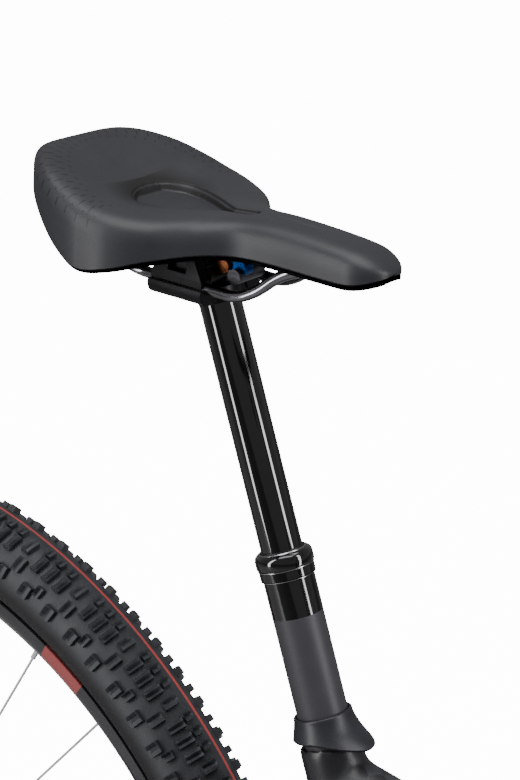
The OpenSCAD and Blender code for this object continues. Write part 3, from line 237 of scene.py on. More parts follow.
# sizes are in millimetres; the patch is slow variation of tone, the grain is the surface's own texture
def newMaterial(name, look):
    material = bpy.data.materials.new(name)
    material.use_nodes = True
    tree = material.node_tree
    shader = tree.nodes["Principled BSDF"]
    for socket, value in look.get("sockets", {}).items():
        shader.inputs[socket].default_value = value
    places = addNode(tree, "TexCoord").outputs["Object"]
    stretched = addNode(tree, "Mapping", inputs={"Vector": places, "Scale": look.get("stretch", (1, 1, 1))})
    patch = addNode(tree, "TexNoise", inputs={"Vector": places, "Scale": 1000 / look["patch"], "Detail": 4.0})
    grain = addNode(tree, "TexNoise", inputs={"Vector": stretched, "Scale": 1000 / look["grain"], "Detail": 3.0})
    slowTone = addNode(tree, "Math", multiply, [patch, 1 - grainShare])
    blendTone = addNode(tree, "Math", {"operation": "MULTIPLY_ADD"}, [grain, grainShare, slowTone])
    spread = addNode(tree, "MapRange", inputs=[blendTone, *noiseSpan])
    tone = addNode(tree, "Mix", {"data_type": "RGBA"},
                   {0: spread, 6: hexToLinear(look["dark"]), 7: hexToLinear(look["light"])})
    rough = addNode(tree, "MapRange", inputs=[blendTone, *noiseSpan, *look["rough"]])
    bump = addNode(tree, "Bump", inputs={"Strength": look.get("bump", 0.3), "Distance": look["depth"] * mm,
                                         "Height": grain})
    tree.links.new(tone.outputs[2], shader.inputs["Base Color"])
    tree.links.new(rough.outputs[0], shader.inputs["Roughness"])
    tree.links.new(bump.outputs[0], shader.inputs["Normal"])
    return material, tree, shader, places, tone


def metal(**more):
    return dict({"Metallic": 1.0}, **more)


looks = {
    # clear-coated carbon fibre, moulded and hand lacquered: dark, with a soft sheen
    "satinCarbon": dict(dark="#17171a", light="#202024", patch=60, grain=0.9, rough=(0.32, 0.42), depth=0.05, bump=0.25,
                        sockets={"Coat Weight": 0.12, "Coat Roughness": 0.3}),
    # injection-moulded rubber boot, faintly blue-grey where it shines
    "mouldedBootRubber": dict(dark="#1e1f24", light="#282930", patch=18, grain=0.35, rough=(0.34, 0.46), depth=0.05),
    # hard-anodised and polished aluminium tube: nearly black mirror
    "polishedHardAnodised": dict(dark="#030303", light="#060607", patch=30, grain=0.5, rough=(0.05, 0.09), depth=0.004,
                                 bump=0.1, sockets={"Specular IOR Level": 0.7, "Coat Weight": 0.6, "Coat Roughness": 0.04}),
    # bead-blasted anodised aluminium: dull dark grey
    "blastedAnodised": dict(dark="#3a383e", light="#424046", patch=25, grain=0.3, rough=(0.42, 0.52), depth=0.02,
                            sockets={"Metallic": 0.15}),
    # satin black anodised aluminium of clamps, levers and hubs
    "satinAnodised": dict(dark="#141416", light="#1d1d20", patch=15, grain=0.3, rough=(0.3, 0.42), depth=0.02,
                          sockets={"Metallic": 0.6}),
    # sprayed and baked gloss paint on cast magnesium
    "bakedPaint": dict(dark="#101012", light="#17171a", patch=40, grain=1.2, rough=(0.2, 0.28), depth=0.03,
                       sockets={"Coat Weight": 0.6, "Coat Roughness": 0.08}),
    # turned stainless steel, bright where it faces the light
    "turnedSteel": dict(dark="#9b9ba0", light="#c4c4c8", patch=12, grain=0.25, stretch=(1, 12, 1), rough=(0.16, 0.28),
                        depth=0.01, sockets=metal()),
    # dark nickel chromium tube of the saddle's rails
    "darkChromeRail": dict(dark="#77757a", light="#96949a", patch=14, grain=0.4, rough=(0.1, 0.2), depth=0.01,
                           sockets=metal()),
    # drawn stainless spoke wire
    "drawnSteel": dict(dark="#d2d2d6", light="#ebebee", patch=20, grain=0.3, rough=(0.35, 0.45), depth=0.01,
                       sockets={"Metallic": 0.35}),
    # laser-cut brake disc, ground along its track
    "groundDisc": dict(dark="#8c8c90", light="#b2b2b6", patch=16, grain=0.35, stretch=(1, 6, 1), rough=(0.22, 0.36),
                       depth=0.02, sockets=metal()),
    # nickel-plated stamped steel of cogs and chain
    "nickelPlate": dict(dark="#6f6f74", light="#94949a", patch=7, grain=0.5, rough=(0.24, 0.4), depth=0.03,
                        sockets=metal()),
    # zinc-plated screw heads
    "zincScrew": dict(dark="#4a4a4e", light="#66666b", patch=5, grain=0.3, rough=(0.25, 0.4), depth=0.02,
                      sockets=metal()),
    # moulded glass-filled nylon
    "mouldedNylon": dict(dark="#0c0c0d", light="#151517", patch=12, grain=0.5, rough=(0.4, 0.55), depth=0.05),
    # glossy painted shell edge of the saddle
    "glossShell": dict(dark="#060607", light="#0a0a0b", patch=20, grain=1.0, rough=(0.12, 0.2), depth=0.01),
    # soft matte grip compound
    "gripCompound": dict(dark="#121213", light="#1b1b1d", patch=12, grain=0.6, rough=(0.6, 0.75), depth=0.1, bump=0.5),
    # extruded polyurethane cable sleeve
    "cableSleeve": dict(dark="#0d0d0e", light="#151516", patch=20, grain=0.6, rough=(0.38, 0.5), depth=0.03),
    # blue anodised aluminium dial
    "blueAnodised": dict(dark="#123a75", light="#1b56a3", patch=6, grain=0.3, rough=(0.22, 0.34), depth=0.02,
                         sockets=metal()),
    # copper-coloured washer
    "copperWasher": dict(dark="#8a5236", light="#b06c47", patch=4, grain=0.2, rough=(0.22, 0.35), depth=0.01,
                         sockets=metal()),
    # moulded tread compound
    "treadCompound": dict(dark="#222428", light="#34373c", patch=9, grain=0.8, rough=(0.48, 0.62), depth=0.12, bump=0.5),
    # thin polyurethane-coated cover over foam
    "coatedCover": dict(dark="#27282c", light="#2f3034", patch=50, grain=0.45, rough=(0.4, 0.5), depth=0.045, bump=0.35,
                        sockets={"Specular IOR Level": 0.42}),
    # lacquered carbon rim
    "lacqueredRim": dict(dark="#2a2a2c", light="#3a3a3d", patch=30, grain=0.8, rough=(0.16, 0.26), depth=0.01,
                         sockets={"Coat Weight": 0.6, "Coat Roughness": 0.08}),
}
made = {name: newMaterial(name, look) for name, look in looks.items()}
finish = {name: parts[0] for name, parts in made.items()}


# paints a second colour over a material's tone where the mask is 1
def paintOver(name, mask, code, keepRough=None):
    material, tree, shader, places, tone = made[name]
    source = shader.inputs["Base Color"].links[0].from_socket
    layer = addNode(tree, "Mix", {"data_type": "RGBA"}, {0: mask, 6: source, 7: hexToLinear(code)})
    tree.links.new(layer.outputs[2], shader.inputs["Base Color"])
    if keepRough is not None:
        rough = shader.inputs["Roughness"].links[0].from_socket
        change = addNode(tree, "Mix", {"data_type": "FLOAT"}, {0: mask, 2: rough, 3: keepRough})
        tree.links.new(change.outputs[0], shader.inputs["Roughness"])


# a mask that is 1 from low to high, with soft edges
def between(tree, value, low, high, soft):
    rise = addNode(tree, "MapRange", inputs=[value, low - soft, low + soft])
    fall = addNode(tree, "MapRange", inputs=[value, high - soft, high + soft])
    return addNode(tree, "Math", subtract, [rise, fall])


# a mask that is 1 where every one of the masks is
def allOf(tree, masks):
    whole = masks[0]
    for mask in masks[1:]:
        whole = addNode(tree, "Math", multiply, [whole, mask])
    return whole


def distanceFrom(tree, first, second):
    squares = [addNode(tree, "Math", multiply, [value, value]) for value in (first, second)]
    return addNode(tree, "Math", {"operation": "SQRT"}, [addNode(tree, "Math", {"operation": "ADD"}, squares)])


print("finishes made:", len(finish))

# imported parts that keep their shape, each with its finish
keptParts = {
    "frame_bearings": "turnedSteel", "rear_axle": "satinAnodised", "rear_caliper": "satinAnodised",
    "rear_cables": "cableSleeve", "derailleur_base": "satinAnodised", "seat_head": "satinAnodised",
    "rail_clamp": "satinAnodised", "crown_and_steerer": "bakedPaint", "fork_stanchions": "polishedHardAnodised",
    "headset_cover": "mouldedNylon", "stem": "satinAnodised", "stem_faceplate": "satinAnodised",
    "stem_bolts": "zincScrew", "handlebar": "satinCarbon", "brake_bodies": "satinAnodised",
    "dropper_remote_body": "mouldedNylon", "shifter_body": "mouldedNylon", "control_cables": "cableSleeve",
    "left_brake_lever": "satinAnodised", "right_brake_lever": "satinAnodised", "dropper_paddle": "mouldedNylon",
    "shift_paddle": "mouldedNylon", "release_paddle": "mouldedNylon", "compression_dial": "blueAnodised",
    "fork_lowers": "bakedPaint", "front_axle": "satinAnodised", "front_caliper": "satinAnodised",
    "front_spokes": "drawnSteel", "rear_spokes": "drawnSteel", "front_hub": "satinAnodised",
    "rear_hub": "satinAnodised", "front_rotor": "groundDisc", "rear_rotor": "groundDisc",
    "cassette": "nickelPlate", "chain": "nickelPlate", "crankset": "satinCarbon", "chainring": "satinAnodised",
    "left_pedal": "satinAnodised", "right_pedal": "satinAnodised", "derailleur_linkage": "satinAnodised",
    "derailleur_knuckle": "mouldedNylon", "derailleur_cage": "satinAnodised", "guide_pulley": "mouldedNylon",
    "tension_pulley": "mouldedNylon",
}
for node, look in keptParts.items():
    part = frame["nodes"][node]
    part.data.materials.clear()
    part.data.materials.append(finish[look])


def stationValue(share, column):
    rows = saddle["stations"]
    i = 0
    while i < len(rows) - 2 and share > rows[i + 1][0]:
        i += 1
    start, end = rows[i], rows[i + 1]
    before, after = rows[max(i - 1, 0)], rows[min(i + 2, len(rows) - 1)]
    span = end[0] - start[0]
    t = (share - start[0]) / span
    slopeStart = (end[column] - before[column]) / (end[0] - before[0])
    slopeEnd = (after[column] - start[column]) / (after[0] - start[0])
    return ((2 * t ** 3 - 3 * t ** 2 + 1) * start[column] + (t ** 3 - 2 * t ** 2 + t) * span * slopeStart
            + (3 * t ** 2 - 2 * t ** 3) * end[column] + (t ** 3 - t ** 2) * span * slopeEnd)


def rounded(left, stretch, power):
    return max(0.0, 1 - max(0.0, 1 - left / stretch) ** power) ** (1 / power)


def halfWidth(share):
    return (saddle["width"] / 2 * stationValue(share, 1) * rounded(share, saddle["rearRound"], 2)
            * rounded(1 - share, saddle["noseRound"], 2.2))


def endFall(share):
    return rounded(share, 0.04, 2.2) * rounded(1 - share, saddle["noseRound"], 2.2)


def skinHeight(share, across):
    middle, shoulder, edge = (stationValue(share, k) for k in (2, 3, 4))
    power = 3.2 + 2.3 * min(1, max(0, (0.53 - share) / 0.2))
    fall = max(0.0, 1 - across ** power) ** (1 / power)
    rest = edge + 0.35 * (shoulder - edge)
    full = edge + (shoulder - edge) * fall + (middle - shoulder) * (1 - across ** 2) * fall
    return rest + (full - rest) * endFall(share)


def bellyHeight(share, across, under):
    middle, shoulder, edge = (stationValue(share, k) for k in (2, 3, 4))
    rest = edge + 0.35 * (shoulder - edge)
    return (rest - 0.5 - under + (edge + max(1, middle - saddle["padThickness"] - edge) * (1 - across ** 2) - rest)
            * endFall(share))


slot = {   # teardrop relief in the middle of the cover, in millimetres from the rails' centre
    "tail": -54, "widest": -38, "halfWidest": 25, "neck": 10, "halfNeck": 5, "tip": 31, "lip": 1.8, "depth": 5.2,
    "slitDepth": 9, "grooveStart": 35, "grooveEnd": 92, "grooveHalf": 3.2, "grooveDepth": 1.1,
}


def slotHalf(x):
    if x <= slot["tail"] or x >= slot["tip"]:
        return 0.0
    if x < slot["widest"]:
        t = (slot["widest"] - x) / (slot["widest"] - slot["tail"])
        return slot["halfWidest"] * math.sqrt(max(0, 1 - t * t))
    if x < slot["neck"]:
        t = (x - slot["widest"]) / (slot["neck"] - slot["widest"])
        return slot["halfWidest"] + (slot["halfNeck"] - slot["halfWidest"]) * t * t * (3 - 2 * t) ** 0.35
    return slot["halfNeck"] * math.sqrt(max(0, 1 - (max(0, x - slot["tip"] + 5) / 5) ** 2))


def smooth(t):
    t = min(1, max(0, t))
    return t * t * (3 - 2 * t)


def reliefDrop(x, y):
    inside = slotHalf(x) - abs(y)
    lengthwise = min(x - slot["tail"], slot["tip"] - x)
    d = min(inside, lengthwise * 1.2)
    drop = 0.0
    if d > -1.5:
        lip = slot["lip"]
        drop += 0.35 * slot["depth"] * smooth((d + 0.8) / lip)
        drop += 0.65 * slot["depth"] * smooth((d - 1.9) / lip)
        drop += (slot["slitDepth"] - slot["depth"]) * smooth(x / 8) * smooth((d - 1.2) / 1.6)
    ahead = smooth((x - slot["grooveStart"]) / 12) * smooth((slot["grooveEnd"] - x) / 25)
    if abs(y) < 2.5 * slot["grooveHalf"]:
        drop += ahead * slot["grooveDepth"] * math.exp(-(y / slot["grooveHalf"]) ** 2 * 1.5)
    # broad dish round the rear of the relief
    drop += 1.2 * math.exp(-(((x + 42) / 26) ** 2 + (y / 34) ** 2)) * (0 if d > 3 else 1)
    return drop


# a grid wrapped round the saddle's sections: across the top, then back underneath
def wrapSaddle(name, lengthSteps, topSteps, underSteps, top, under, width=1.0, shares=(0.0, 1.0)):
    deselectAll()
    roundSteps = topSteps + underSteps
    bpy.ops.mesh.primitive_grid_add(x_subdivisions=lengthSteps, y_subdivisions=roundSteps, size=2)
    piece = bpy.context.object
    for vertex in piece.data.vertices:
        along = (vertex.co.x + 1) / 2
        turn = (vertex.co.y + 1) / 2 * roundSteps
        share = shares[0] + (shares[1] - shares[0]) * (0.65 * along + 0.35 * (0.5 - 0.5 * math.cos(math.pi * along)))
        x = share * saddle["length"] - saddle["tail"]
        half = width * halfWidth(share)
        if turn <= topSteps:
            t = 2 * turn / topSteps - 1
            across = 0.55 * t + 0.45 * math.sin(t * math.pi / 2)
            vertex.co = (x, half * across, top(share, abs(across) * width, x, half * across))
        else:
            t = 1 - 2 * (turn - topSteps) / underSteps
            vertex.co = (x, half * t, under(share, abs(t) * width, x, half * t))
    piece.name = name
    return piece


cover = wrapSaddle("saddleCover", 330, 190, 20,
                   lambda share, across, x, y: skinHeight(share, across) - reliefDrop(x, y),
                   lambda share, across, x, y: bellyHeight(share, across, 0))
# where the marks go: place along and across, and how far a point lies below the shoulder
spots, drops = [], []
for vertex in cover.data.vertices:
    x, y, z = vertex.co
    share = min(1.0, max(0.0, (x + saddle["tail"]) / saddle["length"]))
    spots += [x, y, skinHeight(share, 0.8) - z]
    drops.append(reliefDrop(x, y))
cover.data.attributes.new("plan", "FLOAT_VECTOR", "POINT").data.foreach_set("vector", spots)
cover.data.attributes.new("relief", "FLOAT", "POINT").data.foreach_set("value", drops)
finishPiece(cover, "saddleCover", railPlace, "saddle", [finish["coatedCover"]], ["saddle_cover"],
            angle=60, merge=0.02)

# short pressed dashes in rings round the tail, and painted shade on the relief's walls and in its deep slit
marks = {
    "centre": -45.0, "length": 76.0, "half": 73.0, "spacing": 8.5, "halfLine": 0.4, "reach": 1.75, "start": 500,
    "stagger": 3.1,
    # painted shade on the relief's walls and slit: least and most depth below the skin, and how soft the edge is
    "upperWall": (0.55, 1.55, 0.25), "lowerWall": (2.3, 4.75, 0.3), "slitShade": (5.5, 7.0), "inRelief": (-60.0, 33.0, 0.5),
    # share of the tail's ellipse, dash length in mm, and the least and most that they lie below the shoulder
    "rings": [(0.985, 6.0, 5.0, 9.5), (0.955, 4.0, -1.0, 3.5), (0.88, 6.0, -9.0, 9.0), (0.80, 4.5, -9.0, 9.0),
              (0.72, 2.5, -9.0, 9.0)],
}
tree = made["coatedCover"][1]
plan = addNode(tree, "Attribute", {"attribute_name": "plan"}).outputs["Vector"]
along, across, below = addNode(tree, "SeparateXYZ", inputs=[plan]).outputs
depth = addNode(tree, "Attribute", {"attribute_name": "relief"}).outputs["Fac"]
behind = addNode(tree, "Math", subtract, [marks["centre"], along])
awayX = addNode(tree, "Math", divide, [behind, marks["length"]])
awayY = addNode(tree, "Math", divide, [across, marks["half"]])
ringShare = distanceFrom(tree, awayX, awayY)
angle = addNode(tree, "Math", {"operation": "ARCTAN2"}, [awayY, awayX])
arc = addNode(tree, "Math", multiply, [angle, marks["half"]])
dashes = 0.0
for index, (share, length, least, most) in enumerate(marks["rings"]):
    shifted = addNode(tree, "Math", {"operation": "ADD"}, [arc, marks["start"] + marks["stagger"] * index])
    step = addNode(tree, "Math", {"operation": "MODULO"}, [shifted, marks["spacing"]])
    line = addNode(tree, "Math", compare, [step, marks["spacing"] / 2, marks["halfLine"]])
    within = addNode(tree, "Math", compare, [ringShare, share, length / 2 / marks["half"]])
    height = addNode(tree, "Math", compare, [below, (least + most) / 2, (most - least) / 2])
    dashes = addNode(tree, "Math", larger, [dashes, allOf(tree, [line, within, height])])
turned = addNode(tree, "Math", {"operation": "ABSOLUTE"}, [angle])
reach = addNode(tree, "Math", {"operation": "LESS_THAN"}, [turned, marks["reach"]])
paintOver("coatedCover", allOf(tree, [dashes, reach]), "#0c0c0d")
# painted shade: the relief's walls and its deep slit are painted near black and made rougher, standing in for the shade
# inside the recess
wallShade = [between(tree, depth, *marks[wall]) for wall in ("upperWall", "lowerWall")]
slitShade = addNode(tree, "MapRange", inputs=[depth, *marks["slitShade"]])
recessShade = addNode(tree, "Math", larger, [addNode(tree, "Math", larger, wallShade), slitShade])
paintOver("coatedCover", allOf(tree, [recessShade, between(tree, along, *marks["inRelief"])]), "#060607", 0.65)

shell = wrapSaddle("saddleShell", 150, 60, 30,
                   lambda share, across, x, y: bellyHeight(share, across, 0.3),
                   lambda share, across, x, y: bellyHeight(share, across, 2.6), 0.975, (0.008, 0.995))
finishPiece(shell, "saddleShell", railPlace, "saddle", [finish["glossShell"]], ["saddle_shell"],
            angle=50, merge=0.02)
trim = wrapSaddle("saddleTrim", 150, 40, 30,
                  lambda share, across, x, y: bellyHeight(share, across, 2.4),
                  lambda share, across, x, y: bellyHeight(share, across, 3.2), 0.972, (0.012, 0.994))
finishPiece(trim, "saddleTrim", railPlace, "saddle", [finish["zincScrew"]], angle=50, merge=0.02)

railPoints = [(-90, 31, 38), (-80, 30.8, 31.5), (-66, 30, 18.5), (-50, 26.5, 6), (-38, 22.6, 0.6), (-26, 22, 0),
              (0, 22, 0), (20, 22, 0), (33, 22, 0.3), (44, 21, 4.5), (64, 17, 19), (80, 12.5, 25)]
rails = joinPieces([bendRod([(x, s * y, z) for x, y, z in railPoints], 3.5, 5) for s in (1, -1)])
finishPiece(rails, "saddleRails", railPlace, "saddle", [finish["darkChromeRail"]], ["saddle_rails"],
            angle=50)

# small cross barrels and washers of the clamp: finish, outline of (radius, height), middle
clampBits = {
    "clampBarrelFront": ("zincScrew", [(0, -12), (4.6, -12), (4.6, 12), (0.1, 12)], (24, 0, 7.5)),
    "clampDial": ("blueAnodised", [(0.1, -4), (5.2, -4), (5.8, -3.2), (5.8, 3.2), (5.2, 4), (0.1, 4)], (24, -4, 12)),
    "clampWasher": ("copperWasher", [(0.1, -1.2), (4.2, -1.2), (4.2, 1.2), (0.1, 1.2)], (15, -10, 12)),
}
for name, (look, outline, spot) in clampBits.items():
    outline = [(max(r, 0.1), h) for r, h in outline]   # a row of no radius can't be scaled up
    bit = turnOutline(outline, 32)
    bit.data.transform(Matrix.Translation(spot) @ Matrix.Rotation(math.radians(90), 4, "X"))
    finishPiece(bit, name, railPlace, "saddle", [finish[look]])
print("saddle made")

sliderEnd = post["sliderTop"] - 0.5
slider = turnOutline([(10.3, 45), (12.8, 45), (12.8, sliderEnd), (10.3, sliderEnd)], 128, True)
finishPiece(slider, "sliderTube", postPlace, "saddle", [finish["polishedHardAnodised"]],
            ["dropper_stanchion"])
lowerTube = turnOutline([(13.0, -158), (15.8, -158), (15.8, 81), (13.0, 81)], 128, True)
finishPiece(lowerTube, "lowerTubeBlasted", postPlace, "frame", [finish["blastedAnodised"]],
            ["dropper_outer_tube"])
band = turnOutline([(13.0, 81.02), (15.84, 81.02), (15.84, 104.6), (13.0, 104.6)], 128, True)
finishPiece(band, "lowerTubeBand", postPlace, "frame", [finish["polishedHardAnodised"]])
collar = turnOutline([
    (13.1, 105), (16.6, 105), (17.1, 105.4), (17.1, 110.2), (16.6, 110.6), (16.6, 111.4), (17.6, 111.8), (17.9, 112.4),
    (17.9, 117.4), (17.4, 119.2), (16.0, 120.6), (15.3, 120.8), (15.3, 120.0), (13.1, 120.0)], 128, True)
finishPiece(collar, "postCollar", postPlace, "frame", [finish["polishedHardAnodised"]],
            ["dropper_collar"])
ringLook = {
    "collarRingLow": [(15.9, 104.4), (16.9, 104.5), (16.95, 104.9), (15.9, 105.0)],
    "collarRingMiddle": [(16.5, 110.6), (17.4, 110.65), (17.4, 111.3), (16.5, 111.4)],
    "wiperRing": [(13.6, 119.8), (15.0, 119.8), (15.0, 121.0), (14.6, 121.5), (14.0, 121.5), (13.6, 121.0)],
}
for name, outline in ringLook.items():
    ring = turnOutline(outline, 128, True)
    finishPiece(ring, name, postPlace, "frame", [finish["turnedSteel"]])
wiper = turnOutline([(12.9, 119.9), (13.55, 119.9), (13.5, 122.2), (12.95, 122.4)], 96, True)
finishPiece(wiper, "wiperLip", postPlace, "frame", [finish["mouldedNylon"]])

boot = {
    "rows": 34, "sides": 120, "lipRows": 6, "footRows": 4, "lipRadius": 18.3, "lipTop": 18, "lipRoll": 1.1,
    "frontReach": 32, "backReach": 21.6, "sideReach": 21.6, "footHeight": 4.5, "frontDrop": 9.5,
}


# a point of the boot's side, from under its lip to its foot
def bootPoint(turn, share):
    ahead = max(0, math.cos(turn))
    reach = boot["backReach"] + (boot["frontReach"] - boot["backReach"]) * ahead ** 2.2
    footX, footY = reach * math.cos(turn), boot["sideReach"] * math.sin(turn)
    footZ = boot["footHeight"] - boot["frontDrop"] * ahead ** 2
    topX, topY = boot["lipRadius"] * math.cos(turn), boot["lipRadius"] * math.sin(turn)
    spread = share ** (1 + 1.1 * ahead)
    topZ = boot["lipTop"] - 2
    return Vector((topX + (footX - topX) * spread, topY + (footY - topY) * share ** 1.2,
                   topZ + (footZ - topZ) * share))


deselectAll()
bpy.ops.mesh.primitive_grid_add(x_subdivisions=boot["sides"], y_subdivisions=boot["rows"], size=2)
bootPiece = bpy.context.object
for vertex in bootPiece.data.vertices:
    turn = vertex.co.x * math.pi
    row = (1 - vertex.co.y) / 2 * boot["rows"]
    if row < boot["lipRows"]:   # rolled lip at the top
        roll = row / boot["lipRows"] * math.pi
        radius = boot["lipRadius"] - boot["lipRoll"] - boot["lipRoll"] * math.cos(roll)
        vertex.co = (radius * math.cos(turn), radius * math.sin(turn), boot["lipTop"] - 2 + 1.3 * math.sin(roll) + 0.7)
    elif row < boot["rows"] - boot["footRows"]:
        share = (row - boot["lipRows"]) / (boot["rows"] - boot["lipRows"] - boot["footRows"])
        vertex.co = bootPoint(turn, share)
    else:   # the foot's edge turns in
        foot = bootPoint(turn, 1.0)
        inward = (row - boot["rows"] + boot["footRows"]) / boot["footRows"]
        narrow = 1 - 0.09 * inward
        vertex.co = (foot.x * narrow, foot.y * narrow, foot.z - 1.6 * math.sin(inward * math.pi / 2))
finishPiece(bootPiece, "seatClampBoot", postPlace, "frame", [finish["mouldedBootRubber"]],
            ["seat_clamp_cover"], angle=60, merge=0.01)
print("seat post made")

# the frame, top tube and stays as one moulding, with soft joints
carbonNodes = ["frame", "top_tube", "rear_stays"]
carbon = joinPieces([copyPart(node, node) for node in carbonNodes])
startEdit()
bpy.ops.mesh.select_all(action="SELECT")
bpy.ops.mesh.remove_doubles(threshold=0.00001)
bpy.ops.object.mode_set(mode="OBJECT")
addModifier(carbon, "REMESH", mode="VOXEL", voxel_size=0.003, adaptivity=0.0)
addModifier(carbon, "SMOOTH", factor=0.5, iterations=9)
carbon.data.materials.clear()
finishPiece(carbon, "carbonFrame", Matrix.Identity(4), "frame", [finish["satinCarbon"]], carbonNodes,
            angle=60, merge=0.00001, turnFaces=False)
tree, places = made["satinCarbon"][1], made["satinCarbon"][3]
# spread tows that show as chequers on the top tube's upper face; lengths and places are in metres
weave = {"tow": 0.0095, "turn": 0.6, "along": (-0.19, 0.12, 0.02), "above": (0.6, 0.62), "facing": (0.35, 0.5),
         "strength": 0.75}
frameX, _, frameZ = addNode(tree, "SeparateXYZ", inputs=[places]).outputs
flat = addNode(tree, "Mapping", inputs={"Vector": places, "Scale": (1, 1, 0), "Rotation": (0, 0, weave["turn"])})
checks = addNode(tree, "TexChecker", inputs={
    "Vector": flat, "Color1": (1, 1, 1, 1), "Color2": (0, 0, 0, 1), "Scale": 1 / weave["tow"]}).outputs["Fac"]
normal = addNode(tree, "NewGeometry").outputs["Normal"]
upward = addNode(tree, "SeparateXYZ", inputs=[normal]).outputs[2]
facing = addNode(tree, "MapRange", inputs=[upward, *weave["facing"]])
high = addNode(tree, "MapRange", inputs=[frameZ, *weave["above"]])
near = between(tree, frameX, *weave["along"])
paintOver("satinCarbon", allOf(tree, [facing, near, high, checks, weave["strength"]]), "#34353a", 0.5)
print("frame made:", len(carbon.data.polygons), "faces")

tyre = {
    "centre": 339.5, "casing": 26.2, "bulge": 1.03, "bead": 311, "beadHalf": 14.2, "pitches": 48, "knob": 3.3,
    "majorSteps": 192, "minorSteps": 40, "blockCells": (7, 5),
}


def tyrePoint(angle, turn, lift):   # turn 0 is the crown, lift is above the casing
    radius = tyre["centre"] + (tyre["casing"] + lift) * math.cos(turn)
    height = (tyre["casing"] + lift) * tyre["bulge"] * math.sin(turn)
    return Vector((radius * math.cos(angle), radius * math.sin(angle), height))


# start along the pitch, degrees from the crown, length and width in mm, height share, sipe
pitch = 2 * math.pi / tyre["pitches"]
blocks = []
for k in range(3):   # three close rows of a wide block and a small one
    blocks.append((1 - 0.225 * k, -28.0, 6.2, 12.0, 1.0, "E"))
    blocks.append((1 - 0.225 * k - 0.03, -6.0, 5.6, 6.8, 1.0, "C"))
blocks.append((0.24, -16.5, 6.2, 11.0, 1.0, "C"))
blocks.append((0.33, -46.0, 6.4, 10.5, 1.0, "I"))
blocks.append((0.84, -57.0, 5.2, 7.5, 1.0, "I"))
for k in (0, 0.5):
    blocks.append((0.65 - k, -68.5, 8.0, 9.0, 1.05, "C"))
    blocks.append((0.40 + k, 37.0, 5.2, 8.5, 1.3, "C"))
    blocks.append((0.17 + k, 50.0, 4.4, 7.5, 1.1, "I"))
    blocks.append((0.40 + k, 68.0, 8.0, 9.0, 1.05, "C"))
sipes = {   # grid points sunk in a block's top
    "E": {(2, 1), (3, 1), (4, 1), (2, 3), (3, 3), (4, 3)}, "C": {(3, 2), (4, 2), (2, 2)},
    "I": {(2, 2), (3, 2), (4, 2)},
}
# places of the grid's points, as shares of half the width and half the length
gridAcross = (-1.16, -1, -0.62, -0.2, 0.2, 0.62, 1, 1.16)
gridAlong = (-1.18, -1, -0.34, 0.34, 1, 1.18)


# a tapered block: a grid raised in its middle, with its rim pulled down into the casing
def makeBlock(start, across, length, width, share, sipe):
    height = tyre["knob"] * share
    columns, rows = tyre["blockCells"]
    deselectAll()
    bpy.ops.mesh.primitive_grid_add(x_subdivisions=columns, y_subdivisions=rows, size=2)
    piece = bpy.context.object
    middle = math.radians(across)
    around = (start - 0.5) * pitch
    reach = tyre["centre"] + tyre["casing"] * math.cos(middle)
    heights = {}
    for i in range(columns + 1):
        for j in range(rows + 1):
            edge = i in (0, columns) or j in (0, rows)
            heights[(i, j)] = -1.6 if edge else height
    for (i, j) in sipes[sipe]:
        heights[(i, j)] = height - 2.3
        heights[(i + 1, j)] = height - 2.3
    for vertex in piece.data.vertices:
        i = round((vertex.co.x + 1) / 2 * columns)
        j = round((vertex.co.y + 1) / 2 * rows)
        y = gridAlong[j] * length / 2
        x = gridAcross[i] * width / 2
        angle = around + y / (reach + height)
        turn = middle + x / (tyre["casing"] + height)
        vertex.co = tyrePoint(angle, turn, heights[(i, j)])
    return piece


def makeTread():
    unit = joinPieces([makeBlock(*block) for block in blocks])
    return copiesOf(unit, [Matrix.Rotation(k * pitch, 4, "Z") for k in range(tyre["pitches"])])


def makeCasing():
    deselectAll()
    bpy.ops.mesh.primitive_torus_add(major_segments=tyre["majorSteps"], minor_segments=tyre["minorSteps"],
                                     major_radius=tyre["centre"], minor_radius=tyre["casing"])
    casing = bpy.context.object
    for vertex in casing.data.vertices:
        radius = math.hypot(vertex.co.x, vertex.co.y)
        vertex.co.z *= tyre["bulge"]
        if radius < tyre["bead"] + 9:   # the sidewall runs straight down into the rim
            low = max(radius, tyre["bead"] + 0.4)
            squeeze = low / radius
            vertex.co.x *= squeeze
            vertex.co.y *= squeeze
            if abs(vertex.co.z) > tyre["beadHalf"]:
                vertex.co.z = math.copysign(tyre["beadHalf"], vertex.co.z)
    return casing


rimOutline = [(311.5, -14.4), (316.0, -14.6), (316.4, -15.4), (316.2, -17.2), (311.5, -17.4), (308, -17.3), (303, -14.0),
              (298.5, -10.6), (296.2, -7.0), (295.8, 0.0), (296.2, 7.0), (298.5, 10.6), (303, 14.0), (308, 17.3),
              (311.5, 17.4), (316.2, 17.2), (316.4, 15.4), (316.0, 14.6), (311.5, 14.4), (307.0, 9.5), (307.0, -9.5)]
for label, centre in (("rear", rearCentre), ("front", frontCentre)):
    body = label + "_wheel"
    place = wheelPlace(centre)
    finishPiece(makeCasing(), label + "TyreCasing", place, body, [finish["treadCompound"]],
                [label + "_tyre"], angle=60)
    tread = makeTread()
    finishPiece(tread, label + "TyreTread", place, body, [finish["treadCompound"]], angle=32)
    rim = turnOutline(rimOutline, 192, True)
    finishPiece(rim, label + "RimLook", place, body, [finish["lacqueredRim"]], [label + "_rim"], angle=40)
    print(label, "wheel made:", len(tread.data.polygons), "tread faces")
